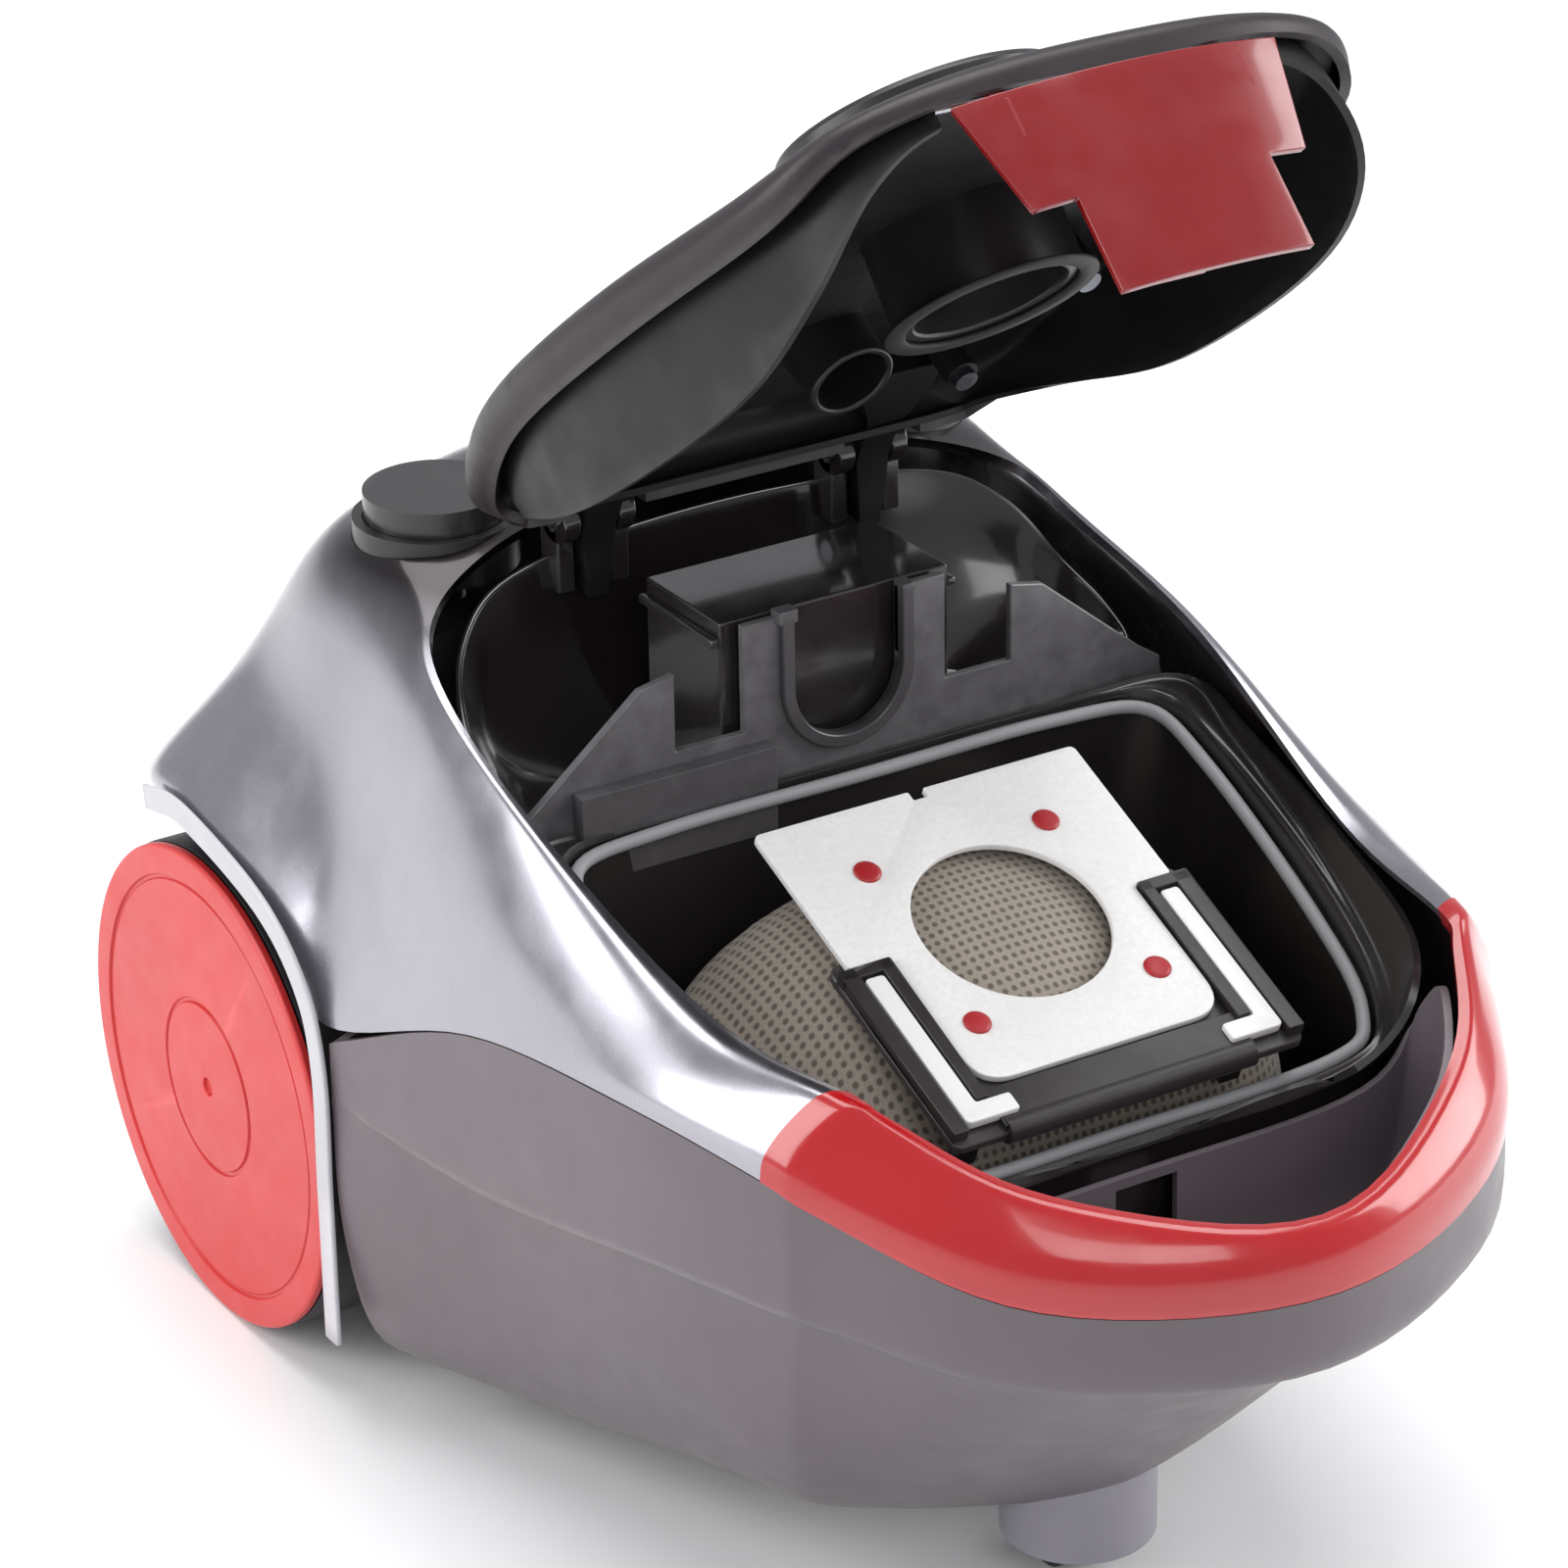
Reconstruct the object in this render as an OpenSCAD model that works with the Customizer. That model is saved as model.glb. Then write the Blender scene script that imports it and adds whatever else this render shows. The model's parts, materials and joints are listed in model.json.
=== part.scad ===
// Bagged canister vacuum cleaner with its lid open.
// Frame: +Z up, floor at z = 0, mid-plane x = 0, the front (red bow) faces -Y.
// Left is -X. Lid parts are drawn closed and then swung open about the lid hinge.

/* [Housing] */
// Half width of the housing at the wheel arches
arch_x = 125; // [120:1:130]
// Half length of the housing, bow to stern
half_length = 206; // [200:1:212]
// Wall thickness of the housing mouldings
wall = 2.6; // [2:0.1:3.2]
// Wall thickness of inner liners
liner_wall = 2; // [1.6:0.1:2.4]

/* [Wheels] */
// Radius of the rear wheels
wheel_r = 68; // [64:1:70]
// Distance of the rear axle behind the origin
wheel_y = 134.5; // [132:0.5:137]
// Width of a rear wheel
wheel_w = 24; // [20:1:24]
// Radius of the rear axle pins
axle_r = 5; // [4:0.5:6]
// Running clearance on radius of wheels, pins and shafts
running_gap = 0.05; // [0.02:0.01:0.09]

/* [Caster] */
// Distance of the caster pivot ahead of the origin
caster_y = 100; // [96:1:104]
// Radius of the caster wheel
caster_r = 10.5; // [9:0.5:11]
// Trail of the caster wheel behind its pivot
caster_trail = 5; // [3:0.5:6]
// Outer radius of the caster socket
socket_r = 20; // [19:0.5:21]

/* [Lid] */
// Lid hinge axis, distance behind the origin
hinge_y = 62; // [60:0.5:64]
// Lid hinge axis, height above the floor
hinge_z = 242; // [240:0.5:244]
// Angle that the lid stands open
lid_open = 63; // [0:1:70]
// Radius of the lid hinge pins
hinge_pin_r = 3; // [2.5:0.1:3.5]
// Half distance between the two hinge arms
hinge_arm_x = 41; // [39:0.5:43]

/* [Hose connection] */
// Bore radius of the hose socket
hose_r = 19; // [16:0.5:20]
// Outer radius of the socket tube that meets the bag collar
tube_r = 24; // [22:0.5:24.5]
// Radius of the raised boss on top of the lid
boss_r = 37; // [34:1:39]
// Height of the boss above the bag collar
boss_h = 50; // [46:1:54]

/* [Dust bag] */
// Distance of the bag mouth ahead of the origin
mouth_y = 70; // [68:1:72]
// Height of the bag mouth above the floor
mouth_z = 170; // [168:1:172]
// Forward slope of the bag mouth
mouth_tilt = 22.6; // [20:0.1:25]
// Radius of the bag mouth
mouth_r = 25.4; // [24:0.1:26]
// Half width of the bag collar
collar_x = 47.5; // [46:0.5:49]
// Spacing of the collar rivets
rivet_pitch = 52.8; // [50:0.2:54]

/* [Pedals] */
// Pedal centre, distance from the mid-plane
pedal_x = 68; // [66:1:70]
// Pedal centre, distance behind the origin
pedal_y = 94; // [94:0.5:97]
// Radius of a pedal
pedal_r = 18.5; // [16:0.5:19]
// Travel of a pedal
pedal_travel = 4; // [2:0.5:5]

/* [Motor and cord reel] */
// Height of the motor shaft
motor_z = 106; // [102:1:110]
// Radius of the motor fan shroud
shroud_r = 56; // [50:1:58]
// Radius of the motor can
can_r = 42; // [38:1:46]
// Radius of the cord reel flanges
reel_r = 66; // [60:1:68]
// Middle of the cord reel behind the origin
reel_y = 158; // [157:0.5:159]
// Bore radius of the cord outlet
cord_r = 4; // [3.5:0.5:4.5]

/* [Hidden] */
$fn = 48;
span_steps = 3;
row_steps = 2;
bore_r = axle_r + running_gap;
far = 400;
well_r = pedal_r + 3;
arm_x0 = hinge_arm_x - 5;
arm_x1 = hinge_arm_x + 5;
outlet_z = 48;
grille_x = 40;
grille_z0 = 70;
grille_z1 = 116;
catch_x = 9;
inlet_r = 36;
seal_r = 1.8;
collar_t = 2;
collar_back = 47;
shroud_end = 62;
can_end = 116;
shaft_r = 4;
reel_z = 96;
reel_axle_r = 5;
lever_y = 120;
lever_z = 176;
stem_r = 4;
spring_pitch = (12.9 - pedal_travel) / 3;
face_x = 123.8;
swivel_r = 4;
latch_y = -151.5;
latch_z = 164;
latch_tilt = 16.2;
latch_bend = 190;

// ---- smooth surfaces through control nets ----
// Each row of a net is half an outline, from the bow at x = 0 to the stern at x = 0.

function blend4(a, b, c, d, t) =
    0.5 * (2 * b + (c - a) * t + (2 * a - 5 * b + 4 * c - d) * t * t + (3 * b - a - 3 * c + d) * t * t * t);
function whole(half) =
    concat(half, [for (i = [len(half) - 2 : -1 : 1]) [-half[i][0], half[i][1], half[i][2]]]);
function outline(half, steps) = let (p = whole(half), n = len(p))
    [for (i = [0 : n - 1]) for (k = [0 : steps - 1])
        blend4(p[(i + n - 1) % n], p[i], p[(i + 1) % n], p[(i + 2) % n], k / steps)];
function curve(p, steps) = let (n = len(p) - 1)
    concat([for (i = [0 : n - 1]) for (k = [0 : steps - 1])
        blend4(i == 0 ? 2 * p[0] - p[1] : p[i - 1], p[i], p[i + 1],
            i == n - 1 ? 2 * p[n] - p[n - 1] : p[i + 2], k / steps)], [p[n]]);
function column(grid, c) = [for (row = grid) row[c]];
function net(rows, steps, rise) = let (loops = [for (half = rows) outline(half, steps)],
        cols = [for (c = [0 : len(loops[0]) - 1]) curve(column(loops, c), rise)])
    [for (r = [0 : len(cols[0]) - 1]) [for (c = [0 : len(cols) - 1]) cols[c][r]]];
function unit(v) = v / max(norm(v), 0.001);
function moved(grid, t) = let (n = len(grid[0]), m = len(grid) - 1)
    [for (r = [0 : m]) [for (c = [0 : n - 1])
        grid[r][c] + t * unit(cross(grid[r][(c + 1) % n] - grid[r][(c + n - 1) % n],
            grid[min(r + 1, m)][c] - grid[max(r - 1, 0)][c]))]];
function picked(grid, from, to) = let (n = len(grid[0]))
    [for (row = grid) [for (c = [from : to]) row[(c + n) % n]]];
function middle(ring) = [for (k = [0 : 2]) [for (p = ring) p[k]] * [for (p = ring) 1] / len(ring)];
function flat(lists) = [for (a = lists) for (b = a) b];

// A wall between an outer and an inner grid. closed: the columns meet end to end.
// capped: the first rows are closed by a floor. crowned: the last rows are closed by a roof.
module walled(outer, inner, closed = true, capped = false, crowned = false) {
    rows = len(outer);
    n = len(outer[0]);
    last = closed ? n - 1 : n - 2;
    half = rows * n;
    function o(r, c) = r * n + (c % n);
    function i(r, c) = half + r * n + (c % n);
    skins = [for (r = [0 : rows - 2]) for (c = [0 : last]) each [
        [o(r, c), o(r + 1, c), o(r + 1, c + 1)], [o(r, c), o(r + 1, c + 1), o(r, c + 1)],
        [i(r, c), i(r + 1, c + 1), i(r + 1, c)], [i(r, c), i(r, c + 1), i(r + 1, c + 1)]]];
    m = rows - 1;
    top = crowned
        ? [for (c = [0 : last]) each [
            [2 * half, o(m, c + 1), o(m, c)], [2 * half + 1, i(m, c), i(m, c + 1)]]]
        : [for (c = [0 : last]) each [
            [o(m, c), i(m, c), i(m, c + 1)], [o(m, c), i(m, c + 1), o(m, c + 1)]]];
    foot = capped
        ? [for (c = [0 : last]) each [
            [2 * half, o(0, c), o(0, c + 1)], [2 * half + 1, i(0, c + 1), i(0, c)]]]
        : [for (c = [0 : last]) each [
            [o(0, c), i(0, c + 1), i(0, c)], [o(0, c), o(0, c + 1), i(0, c + 1)]]];
    ends = closed ? [] : [for (r = [0 : rows - 2]) each [
        [o(r, 0), i(r, 0), i(r + 1, 0)], [o(r, 0), i(r + 1, 0), o(r + 1, 0)],
        [o(r, n - 1), i(r + 1, n - 1), i(r, n - 1)], [o(r, n - 1), o(r + 1, n - 1), i(r + 1, n - 1)]]];
    lid = crowned ? m : 0;
    hubs = capped || crowned ? [middle(outer[lid]), middle(inner[lid])] : [];
    polyhedron(concat(flat(outer), flat(inner), hubs), concat(skins, top, foot, ends));
}

// A solid of stacked outlines, closed at both ends.
module stacked(rows) {
    m = len(rows) - 1;
    n = len(rows[0]);
    function o(r, c) = r * n + (c % n);
    polyhedron(concat(flat(rows), [middle(rows[0]), middle(rows[m])]), concat(
        [for (r = [0 : m - 1]) for (c = [0 : n - 1]) each [
            [o(r, c), o(r + 1, c), o(r + 1, c + 1)], [o(r, c), o(r + 1, c + 1), o(r, c + 1)]]],
        [for (c = [0 : n - 1]) each [
            [(m + 1) * n, o(0, c), o(0, c + 1)], [(m + 1) * n + 1, o(m, c + 1), o(m, c)]]]));
}

module both_sides() {
    children();
    mirror([1, 0, 0]) children();
}

// Cylinder along +Y from y0 to y1, centred on x, z
module y_rod(r, y0, y1, x = 0, z = 0) {
    translate([x, y0, z]) rotate([-90, 0, 0]) cylinder(r = r, h = y1 - y0);
}

module x_rod(r, x0, x1, y = 0, z = 0) {
    translate([x0, y, z]) rotate([0, 90, 0]) cylinder(r = r, h = x1 - x0);
}

module tube(outer, inner, h) {
    difference() {
        cylinder(r = outer, h = h);
        translate([0, 0, -1]) cylinder(r = inner, h = h + 2);
    }
}

module block(low, high) {
    translate(low) cube(high - low);
}

// The bag mouth plane: local +Z is its normal, local -Y runs down to the front
module on_mouth() {
    translate([0, -mouth_y, mouth_z]) rotate([mouth_tilt, 0, 0]) children();
}

module opened() {
    translate([0, hinge_y, hinge_z]) rotate([-lid_open, 0, 0]) translate([0, -hinge_y, -hinge_z]) children();
}

// ---- control nets (millimetres) ----
L = half_length;
A = arch_x;

// Upper housing and red bow: seam, lip, flank, shoulder, deck, rim
upper_rows = [
    [[0, -L, 131], [66, -180, 134], [97, -136, 148], [104, -122, 153], [114, -80, 156], [119, -8, 146],
        [A - 1.5, 62, 118], [A - 1.9, 86, 135], [A - 1.9, 138, 148], [108, 178, 142], [0, L, 134]],
    [[0, -L, 137], [66, -180, 141], [97, -136, 154], [103, -122, 159], [113, -80, 161], [118, -8, 152],
        [A - 3, 61, 126], [A - 3, 85, 143], [A - 3, 138, 156], [107, 178, 150], [0, L, 143]],
    [[0, -L + 1, 142], [65, -178, 148], [93, -137, 162], [99, -124, 166], [109, -80, 168], [114, -8, 173],
        [112, 54, 164], [108, 84, 172], [104, 128, 182], [88, 160, 182], [0, 194, 180]],
    [[0, -L + 3, 146], [62, -175, 154], [88, -139, 169], [93, -127, 173], [102, -80, 174], [108, -8, 191],
        [103, 48, 203], [97, 80, 215], [93, 112, 224], [70, 140, 222], [0, 160, 222]],
    [[0, -L + 5, 147], [60, -173, 157], [84, -141, 171], [89, -129, 175], [97, -80, 176], [103, -8, 199],
        [99, 44, 214], [92, 66, 225], [82, 92, 236], [50, 114, 240], [0, 124, 241]],
    [[0, -L + 7, 147], [57, -171, 157], [80, -142, 170], [85, -130, 174], [93, -80, 175], [100, -8, 200],
        [96, 42, 215], [87, 60, 227], [62, 70, 236], [34, 74, 239], [0, 75, 240]]];

// Lower housing: floor, bilge, hull, undercut, belt line, seam
lower_rows = [
    [[0, -112, 27], [28, -100, 27], [47, -88, 26.4], [54, -79, 26], [66, -50, 25], [80, -8, 21],
        [88, 46, 17], [89, 53, 16.5], [87, 57, 16.5], [82, 66, 16], [78, 160, 16], [70, 172, 17],
        [34, 182, 18], [0, 184, 18]],
    [[0, -130, 44], [42, -116, 43], [69, -96, 41], [77, -83, 39], [86, -54, 38], [97, -8, 31],
        [112, 50, 24], [112, 58, 24], [97, 60, 24], [92, 69, 25], [91, 170, 28], [80, 184, 30],
        [40, 196, 32], [0, 198, 32]],
    [[0, -162, 78], [52, -146, 78], [84, -114, 77], [91, -101, 75], [101, -66, 72], [109, -8, 63],
        [A - 3, 51, 60], [A - 5, 59, 60], [98, 61, 60], [95, 70, 62], [94, 170, 66], [84, 188, 68],
        [40, 202, 70], [0, 204, 70]],
    [[0, -193, 105], [62, -169, 108], [90, -128, 112], [97, -116, 113], [107, -76, 111], [113, -8, 98],
        [A - 2, 52, 95], [A - 4, 59, 95], [98, 61, 95], [95, 70, 97], [95, 170, 100], [85, 189, 102],
        [40, 204, 102], [0, L, 102]],
    [[0, -L + 2, 110], [66, -179, 113], [96, -135, 118], [103, -121, 119], [113, -79, 116], [118, -8, 102],
        [A - 1.5, 52, 100], [A - 4, 59, 100], [98, 61, 100], [95, 70, 102], [95, 170, 105], [85, 189, 106],
        [40, 204, 106], [0, L, 106]],
    [[0, -L, 130.6], [66, -180, 133.6], [97, -136, 147.6], [104, -122, 152.6], [114, -80, 155.5],
        [119, -8, 145.4], [A - 1.5, 52, 118.4], [A - 4, 59, 115.6], [98, 61, 126], [95, 70, 148],
        [95, 170, 140], [85, 189, 138], [40, 204, 133], [0, L, 132]]];

// Lid, closed: rim, bevel, shoulder, crown
lid_rows = [
    [[0, -157.4, 160.4], [40, -156.6, 161.2], [66, -146, 162], [80, -122, 164], [89, -70, 188],
        [90, -8, 217], [80.5, 34, 230], [68.5, 48, 232.5], [58, 53, 234], [0, 55, 235]],
    [[0, -159.5, 167], [40, -157.5, 167], [68, -146, 169], [83, -121, 174], [92.5, -68, 198], [94, -8, 225],
        [85, 35.5, 237], [71.5, 50.5, 240], [60, 56, 241], [0, 58, 242]],
    [[0, -150, 173.5], [33, -148, 173.5], [56, -136, 176], [73, -112, 184], [84, -65, 207], [84, -6, 234],
        [75.5, 31, 244.5], [60, 44.5, 247.5], [46, 50, 248], [0, 53, 248]],
    [[0, -110, 184], [18, -108, 185], [28, -98, 190], [34, -78, 200], [38, -48, 216], [40, -2, 236],
        [36, 22, 246], [28, 32, 249], [16, 40, 250], [0, 44, 251]]];

// Lid liner, closed: lower edge of the skirt, rim, shoulder, crown
liner_rows = [
    [[0, -152, 160], [40, -151, 160], [62, -141.5, 155], [76, -118, 147], [82, -78, 153.5], [86, -10, 188],
        [80, 26, 217], [66, 43.5, 231], [56, 48.5, 233], [0, 50.5, 234.5]],
    [[0, -153, 164], [40, -152, 165], [62.5, -141.5, 166.5], [76, -118, 169], [84.5, -70, 191],
        [86.3, -8, 219], [76.5, 32, 232], [65, 44.5, 236], [55.5, 49.5, 237], [0, 51.5, 238.5]],
    [[0, -150, 169], [33, -148, 169], [55, -136, 171], [70, -112, 179], [80.5, -66, 202], [81, -6, 229],
        [72, 29, 240], [58, 41, 243], [45, 46, 244], [0, 49, 244]],
    [[0, -109, 180], [18, -107, 181], [27, -97, 186], [33, -77, 196], [36, -47, 212], [38, -2, 232],
        [34, 21, 242], [27, 31, 245], [16, 38, 246], [0, 42, 247]]];

// Dust chamber, inner face: floor, wall foot, wall, seal lip, side flange, step, rim wall
chamber_rows = [
    [[0, -96, 46], [46, -93, 46], [59, -84, 46], [65, -66, 46], [67, -30, 46], [62, -12, 46], [44, -6, 46],
        [0, -6, 46]],
    [[0, -107, 57], [52, -104, 57], [67, -93, 57], [74, -72, 57], [77, -28, 57], [72, -6, 57], [50, 0, 57],
        [0, 0, 57]],
    [[0, -116, 92], [60, -115, 92], [78, -104, 95], [86, -74, 100], [88, -28, 110], [82, -4, 112],
        [56, 1, 112], [0, 1, 112]],
    [[0, -121, 131], [62, -121, 132], [80, -111, 137], [87, -80, 150], [91, -28, 170], [87, -4, 178],
        [58, 1, 180], [0, 1, 180]],
    [[0, -124, 133], [64, -124, 134], [81, -113, 143], [88, -80, 160], [93, -28, 178], [90, -3, 184],
        [59, 2, 183], [0, 2, 183]],
    [[0, -124.3, 133.4], [64.5, -124.4, 134.4], [83.5, -117, 145], [91, -80, 161.5], [97, -28, 177],
        [97, -2, 184.5], [59.5, 2.6, 184], [0, 2.6, 184]],
    [[0, -124.6, 133.8], [65, -124.8, 134.8], [85, -121, 158], [92.5, -80, 171], [98.2, -28, 181.4],
        [98.4, -1, 186], [60, 3, 185], [0, 3, 185]]];

upper_grid = net(upper_rows, span_steps, row_steps);
upper_in = moved(upper_grid, -wall);
lower_grid = net(lower_rows, span_steps, row_steps);
lower_in = moved(lower_grid, -wall);
lid_grid = net(lid_rows, span_steps, row_steps);
chamber_grid = net(chamber_rows, span_steps, row_steps);
bow_column = 3 * span_steps;

// ---- housing ----
module housing_cuts() {
    both_sides() x_rod(bore_r, 70, far, wheel_y, wheel_r);
    translate([0, -caster_y, -1]) cylinder(r = socket_r, h = 62);
    y_rod(7.2, 180, far, 0, outlet_z);
    block([-grille_x, 180, grille_z0], [grille_x, far, grille_z1]);
    screw_places() translate([0, 0, -1]) cylinder(r = 2.1, h = 60);
}

module screw_places() {
    both_sides() {
        translate([50, -60, 11.1]) children();
        translate([60, 40, 3.8]) children();
        translate([50, 160, 3.4]) children();
    }
}

module lower_housing() {
    color("#5f575b") difference() {
        union() {
            walled(lower_grid, lower_in, true, true);
            both_sides() x_rod(13, 76, 97, wheel_y, wheel_r);
        }
        housing_cuts();
    }
}

module upper_housing() {
    n = len(upper_grid[0]);
    color("#a9a8ad") difference() {
        walled(picked(upper_grid, bow_column, n - bow_column), picked(upper_in, bow_column, n - bow_column),
            false);
        both_sides() translate([pedal_x, pedal_y, 200]) cylinder(r = well_r + 0.1, h = 60);
        both_sides() block([arm_x0 - 0.6, 60, 215], [arm_x1 + 0.6, 84, 260]);
    }
}

module bumper_trim() {
    outer = picked(upper_grid, -bow_column, bow_column);
    inner = picked(moved(upper_grid, -4.4), -bow_column, bow_column);
    color("#d41a24") walled(outer, inner, false);
}

// Light strip along the edge of each wheel arch
module arch_trims() {
    path = curve([[62, 26], [62, 70], [62, 106], [70, 127], [92, 142], [134, 150], [156, 147]], 4);
    n = len(path) - 1;
    side = [for (i = [0 : n]) let (d = unit(path[min(i + 1, n)] - path[max(i - 1, 0)])) [-d[1], d[0]]];
    color("#c9c8cb") both_sides() translate([A + 0.1, 0, 0]) rotate([90, 0, 90]) linear_extrude(1.4)
        polygon(concat([for (i = [0 : n]) path[i] + 3.5 * side[i]],
            [for (i = [n : -1 : 0]) path[i] - 3.5 * side[i]]));
}

// Open tray inside the bow, where the fingers reach the lid latch
tray_rows = [
    [[0, -176, 98], [48, -156, 98], [64, -142, 98], [66, -133, 98], [58, -130, 98], [0, -130, 98]],
    [[0, -184, 104], [50, -162, 104], [70, -143, 106], [73, -131, 106], [64, -128.6, 106], [0, -128.6, 106]],
    [[0, -191, 122], [53, -167, 122], [75, -144, 122], [77, -130.5, 122], [66, -128.3, 120],
        [0, -128.3, 120]],
    [[0, -195, 143], [54, -169, 150], [76, -143, 160], [79, -131, 150], [66, -128.3, 129],
        [0, -128.3, 127]]];

module front_tray() {
    grid = net(tray_rows, span_steps, row_steps);
    color("#7d757c") difference() {
        walled(moved(grid, liner_wall), grid, true, true);
        block([-catch_x, -140, 104.5], [catch_x, -120, 124]);
    }
}

// ---- dust compartment ----
module dust_chamber() {
    color("#2b2a2c") difference() {
        walled(moved(chamber_grid, liner_wall), chamber_grid, true, true);
        y_rod(inlet_r, -20, 20, 0, motor_z);
    }
}

// Rubber seal along the lip of the dust chamber
module chamber_seal() {
    path = outline([for (p = chamber_rows[3]) p + [0, 0, 2.2]], span_steps);
    n = len(path);
    rows = [for (i = [0 : n - 1]) let (d = unit(path[(i + 1) % n] - path[(i + n - 1) % n]),
            s = unit(cross(d, [0, 0, 1])), u = cross(s, d))
        [for (a = [0 : 60 : 300]) path[i] + seal_r * (cos(a) * s + sin(a) * u) - 2.4 * s]];
    color("#8f9092") walled_loop(rows);
}

// Sections along a closed path
module walled_loop(rows) {
    m = len(rows);
    n = len(rows[0]);
    function o(r, c) = (r % m) * n + (c % n);
    polyhedron(flat(rows), [for (r = [0 : m - 1]) for (c = [0 : n - 1]) each [
        [o(r, c), o(r, c + 1), o(r + 1, c + 1)], [o(r, c), o(r + 1, c + 1), o(r + 1, c)]]]);
}

// Bulkhead between dust chamber and motor, with a slotted top edge
module partition_wall() {
    right = [[0, 25], [68, 25], [88, 35], [99, 60], [105, 100], [109, 145], [102, 165], [97, 186],
        [97, 188.5], [91, 192.4], [60, 218], [50, 220], [50, 199], [30, 199], [30, 228],
        [0, 228]];
    color("#4a484b") difference() {
        union() {
            y_slab(right, 5.5, 7.9);
            mirror([1, 0, 0]) y_slab(right, 5.5, 7.9);
            y_rod(19.5, 3.2, 7.9, 0, 208);
            block([-19.5, 3.2, 208], [-16, 7.9, 229]);
            block([16, 3.2, 208], [19.5, 7.9, 229]);
            block([-80, 1, 187], [-23.5, 5.6, 195.5]);
        }
        y_rod(16, 0, 20, 0, 208);
        block([-16, 0, 208], [16, 20, 260]);
        y_rod(inlet_r, 0, 20, 0, motor_z);
    }
}

// Outline in x, z swept along +Y from y0 to y1
module y_slab(points, y0, y1) {
    translate([0, y1, 0]) rotate([90, 0, 0]) linear_extrude(y1 - y0) polygon(points);
}

// Outline in y, z swept along +X from x0 to x1
module x_slab(points, x0, x1) {
    translate([x0, 0, 0]) rotate([90, 0, 90]) linear_extrude(x1 - x0) polygon(points);
}

cover_rows = [
    [[0, 15, 176], [48, 15, 176], [62, 17, 176], [66, 26, 177], [62, 38, 179], [52, 46, 181], [32, 50, 182],
        [0, 52, 182]],
    [[0, 11, 182], [60, 11, 182], [82, 12, 183], [86, 24, 185], [82, 42, 192], [71, 54, 202], [46, 62, 208],
        [0, 64, 210]],
    [[0, 10.2, 187], [62, 10.2, 187], [90, 11, 190], [92, 24, 198], [90, 41, 205], [81, 55, 220],
        [59, 64, 230], [0, 68, 233]]];

// Cover over the motor, with the raised housing in its middle and the hinge lugs at the back
module motor_cover() {
    grid = net(cover_rows, span_steps, row_steps);
    color("#232124") difference() {
        union() {
            walled(moved(grid, liner_wall), grid, true, true);
            difference() {
                block([-34, 10.2, 180], [34, 46, 228]);
                block([-32, 12.2, 178], [32, 44, 226]);
            }
            both_sides() block([34, 10.2, 221.5], [36.5, 46, 224]);
            both_sides() for (x = [arm_x0 - 5.5, arm_x1 + 0.5]) {
                x_slab([[62, 222], [69, 222], [69, 243], [62, 247], [56.5, 243]], x, x + 5);
                x_rod(6.5, x, x + 5, hinge_y, hinge_z);
            }
        }
        both_sides() x_rod(hinge_pin_r + running_gap, arm_x0 - 9, arm_x1 + 9, hinge_y, hinge_z);
        both_sides() block([arm_x0 - 0.4, 55, 213], [arm_x1 + 0.4, 90, 260]);
    }
}

module hinge_pins() {
    color("#b9bcc0") both_sides() x_rod(hinge_pin_r, arm_x0 - 6, arm_x1 + 6, hinge_y, hinge_z);
}

// ---- bag, collar and holder, all laid out on the bag mouth plane ----
module bag_holder() {
    color("#262426") on_mouth() difference() {
        union() {
            block([-51, -58, -5], [51, 4, -2.4]);
            both_sides() block([36.6, -48, -2.4], [40, -1, 1]);
            both_sides() block([46.6, -56, -2.4], [51, -1, 1]);
            both_sides() block([36.6, -4, -2.4], [51, -1, 1]);
            block([-36.6, -57, -2.4], [36.6, -45, -0.6]);
            x_rod(3.4, -36, 36, -56.3, -3.4);
            both_sides() block([36, -50, -22], [42, -46, -5]);
        }
        translate([0, 0, -9]) cylinder(r = mouth_r + 2, h = 9);
    }
}

// Two white L-shaped arms that hold the collar
module bag_clips() {
    color("#f1f0ee") on_mouth() both_sides() {
        block([40.6, -54, -2.3], [46, -5, 0.6]);
        block([31, -54, -0.5], [40.6, -48.6, 0.6]);
    }
}

module bag_collar() {
    right = concat([[0, collar_back], [collar_x, collar_back], [collar_x, 0], [36, 0]],
        [for (a = [0 : -15 : -90]) [26 + 10 * cos(a), -34 + 10 * sin(a)]], [[0, -44]]);
    color("#f4f3f1") on_mouth() difference() {
        translate([0, 0, -collar_t]) linear_extrude(collar_t)
            polygon(concat(right, [for (i = [len(right) - 2 : -1 : 1]) [-right[i][0], right[i][1]]]));
        translate([0, 0, -9]) cylinder(r = mouth_r, h = 18);
        for (x = [-0.5, 0.5], y = [-0.5, 0.5])
            translate([x * rivet_pitch, y * rivet_pitch, -9]) cylinder(r = 2, h = 18);
        block([-2, collar_back - 3, -9], [2, collar_back + 2, 9]);
    }
}

module collar_rivets() {
    color("#c8323a") on_mouth() for (x = [-0.5, 0.5], y = [-0.5, 0.5])
        translate([x * rivet_pitch, y * rivet_pitch, 0]) {
            cylinder(r = 3.6, h = 0.5);
            translate([0, 0, -2.2]) cylinder(r = 2, h = 2.3);
        }
}

bag_rows = [
    [[0, -88, 52], [40, -84, 52], [50, -60, 52], [44, -26, 52], [0, -20, 52]],
    [[0, -100, 62], [54, -96, 62], [68, -60, 62], [62, -20, 62], [0, -14, 62]],
    [[0, -106, 96], [60, -101, 96], [76, -60, 96], [70, -18, 96], [0, -12, 96]],
    [[0, -104, 126], [56, -100, 127], [76, -60, 136], [70, -18, 142], [0, -12, 142]],
    [[0, -92, 145], [38, -90, 147], [52, -60, 158], [44, -28, 167], [0, -24, 168]]];

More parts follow.
